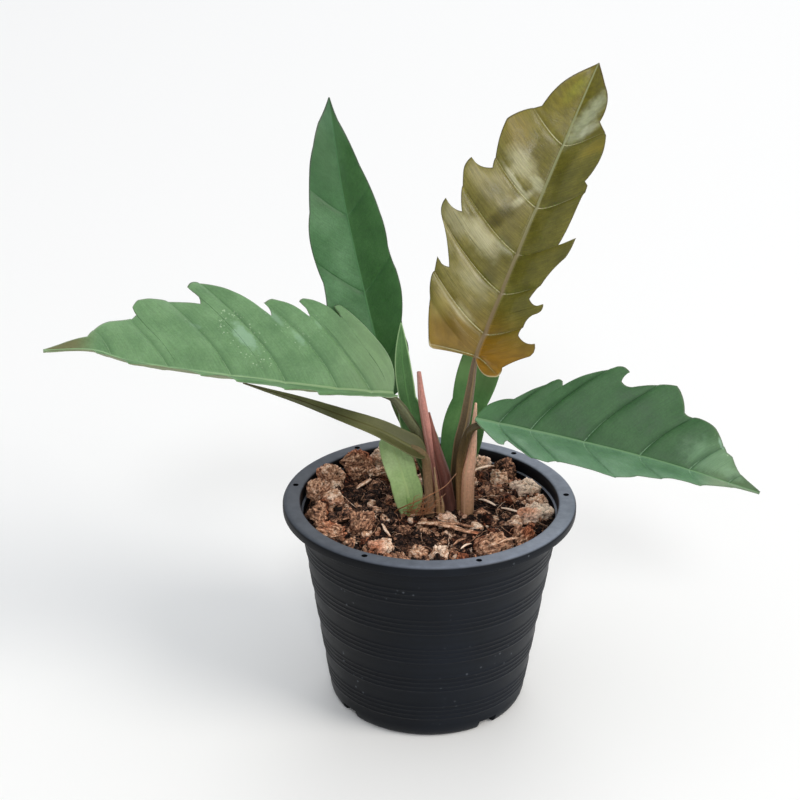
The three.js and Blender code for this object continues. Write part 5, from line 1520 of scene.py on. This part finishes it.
class PHILO_OT_stage(bpy.types.Operator):
    """Lay the plain floor, hang the soft studio lights and set the camera at the photograph's view"""

    bl_idname = "philo.stage"
    bl_label = "Stage"

    def execute(self, context):
        settings = context.scene.philo_stage
        half = settings.floor_size / 2
        mesh = bpy.data.meshes.new("floor")
        mesh.from_pydata([(-half, -half, 0), (half, -half, 0), (half, half, 0), (-half, half, 0)], [], [(0, 1, 2, 3)])
        material, add = new_material("plain_floor")
        add("OutputMaterial", add("BsdfPrincipled", Base_Color=(*settings.floor_colour, 1.0), Roughness=0.9))
        mesh.materials.append(material)
        floor = bpy.data.objects.new("floor", mesh)
        context.scene.collection.objects.link(floor)

        world = bpy.data.worlds.new("studio")
        world.use_nodes = True
        world.node_tree.nodes.clear()
        sky = node(world.node_tree, "Background", Color="#f3f6fb", Strength=0.61)
        node(world.node_tree, "OutputWorld", sky)
        context.scene.world = world
        context.scene.view_settings.view_transform = "Standard"

        for name, place, aim, size, power, colour in STUDIO_LIGHTS:
            lamp = bpy.data.lights.new(name, "AREA")
            lamp.shape = "DISK"
            lamp.size = size
            lamp.energy = power
            lamp.color = linear(colour)[:3]
            light = bpy.data.objects.new(name, lamp)
            light.location = place
            light.rotation_euler = (Vector(aim) - Vector(place)).to_track_quat("-Z", "Y").to_euler()
            context.scene.collection.objects.link(light)

        lens = bpy.data.cameras.new("photo_view")
        lens.sensor_width = 36.0
        lens.lens = CAMERA["focal_px"] / CAMERA["frame_px"] * lens.sensor_width
        lens.clip_start = 0.01
        camera = bpy.data.objects.new("photo_view", lens)
        camera.location = [c * MM for c in CAMERA["place"]]
        camera.rotation_mode = "ZYX"
        camera.rotation_euler = (math.radians(90 - CAMERA["tilt_down"]), 0, math.radians(CAMERA["roll"]))
        context.scene.collection.objects.link(camera)
        context.scene.camera = camera
        return {"FINISHED"}


class PHILO_PT_panel(bpy.types.Panel):
    """Buttons and settings of the potted philodendron"""

    bl_label = "Philodendron"
    bl_idname = "PHILO_PT_panel"
    bl_space_type = "VIEW_3D"
    bl_region_type = "UI"
    bl_category = "Philodendron"

    def draw(self, context):
        scene = context.scene
        for group in (scene.philo_pot, scene.philo_plant, scene.philo_mix, scene.philo_stage):
            box = self.layout.box()
            for name in group.bl_rna.properties.keys():
                if name not in ("rna_type", "name"):
                    box.prop(group, name)
        for operator in OPERATORS:
            self.layout.operator(operator.bl_idname)


OPERATORS = (PHILO_OT_stage, PHILO_OT_pot, PHILO_OT_mix, PHILO_OT_large_leaves, PHILO_OT_slim_leaves,
             PHILO_OT_sheaths)
GROUPS = {"philo_pot": PotSettings, "philo_plant": PlantSettings, "philo_mix": MixSettings,
          "philo_stage": StageSettings}


def register():
    for name, group in GROUPS.items():
        bpy.utils.register_class(group)
        setattr(bpy.types.Scene, name, bpy.props.PointerProperty(type=group))
    for operator in OPERATORS:
        bpy.utils.register_class(operator)
    bpy.utils.register_class(PHILO_PT_panel)


def unregister():
    bpy.utils.unregister_class(PHILO_PT_panel)
    for operator in reversed(OPERATORS):
        bpy.utils.unregister_class(operator)
    for name, group in reversed(GROUPS.items()):
        delattr(bpy.types.Scene, name)
        bpy.utils.unregister_class(group)


def main():
    register()
    bpy.ops.philo.stage()
    bpy.ops.philo.pot()
    bpy.ops.philo.mix()
    bpy.ops.philo.large_leaves()
    bpy.ops.philo.slim_leaves()
    bpy.ops.philo.sheaths()
    bpy.context.view_layer.update()


if __name__ == "__main__":
    main()
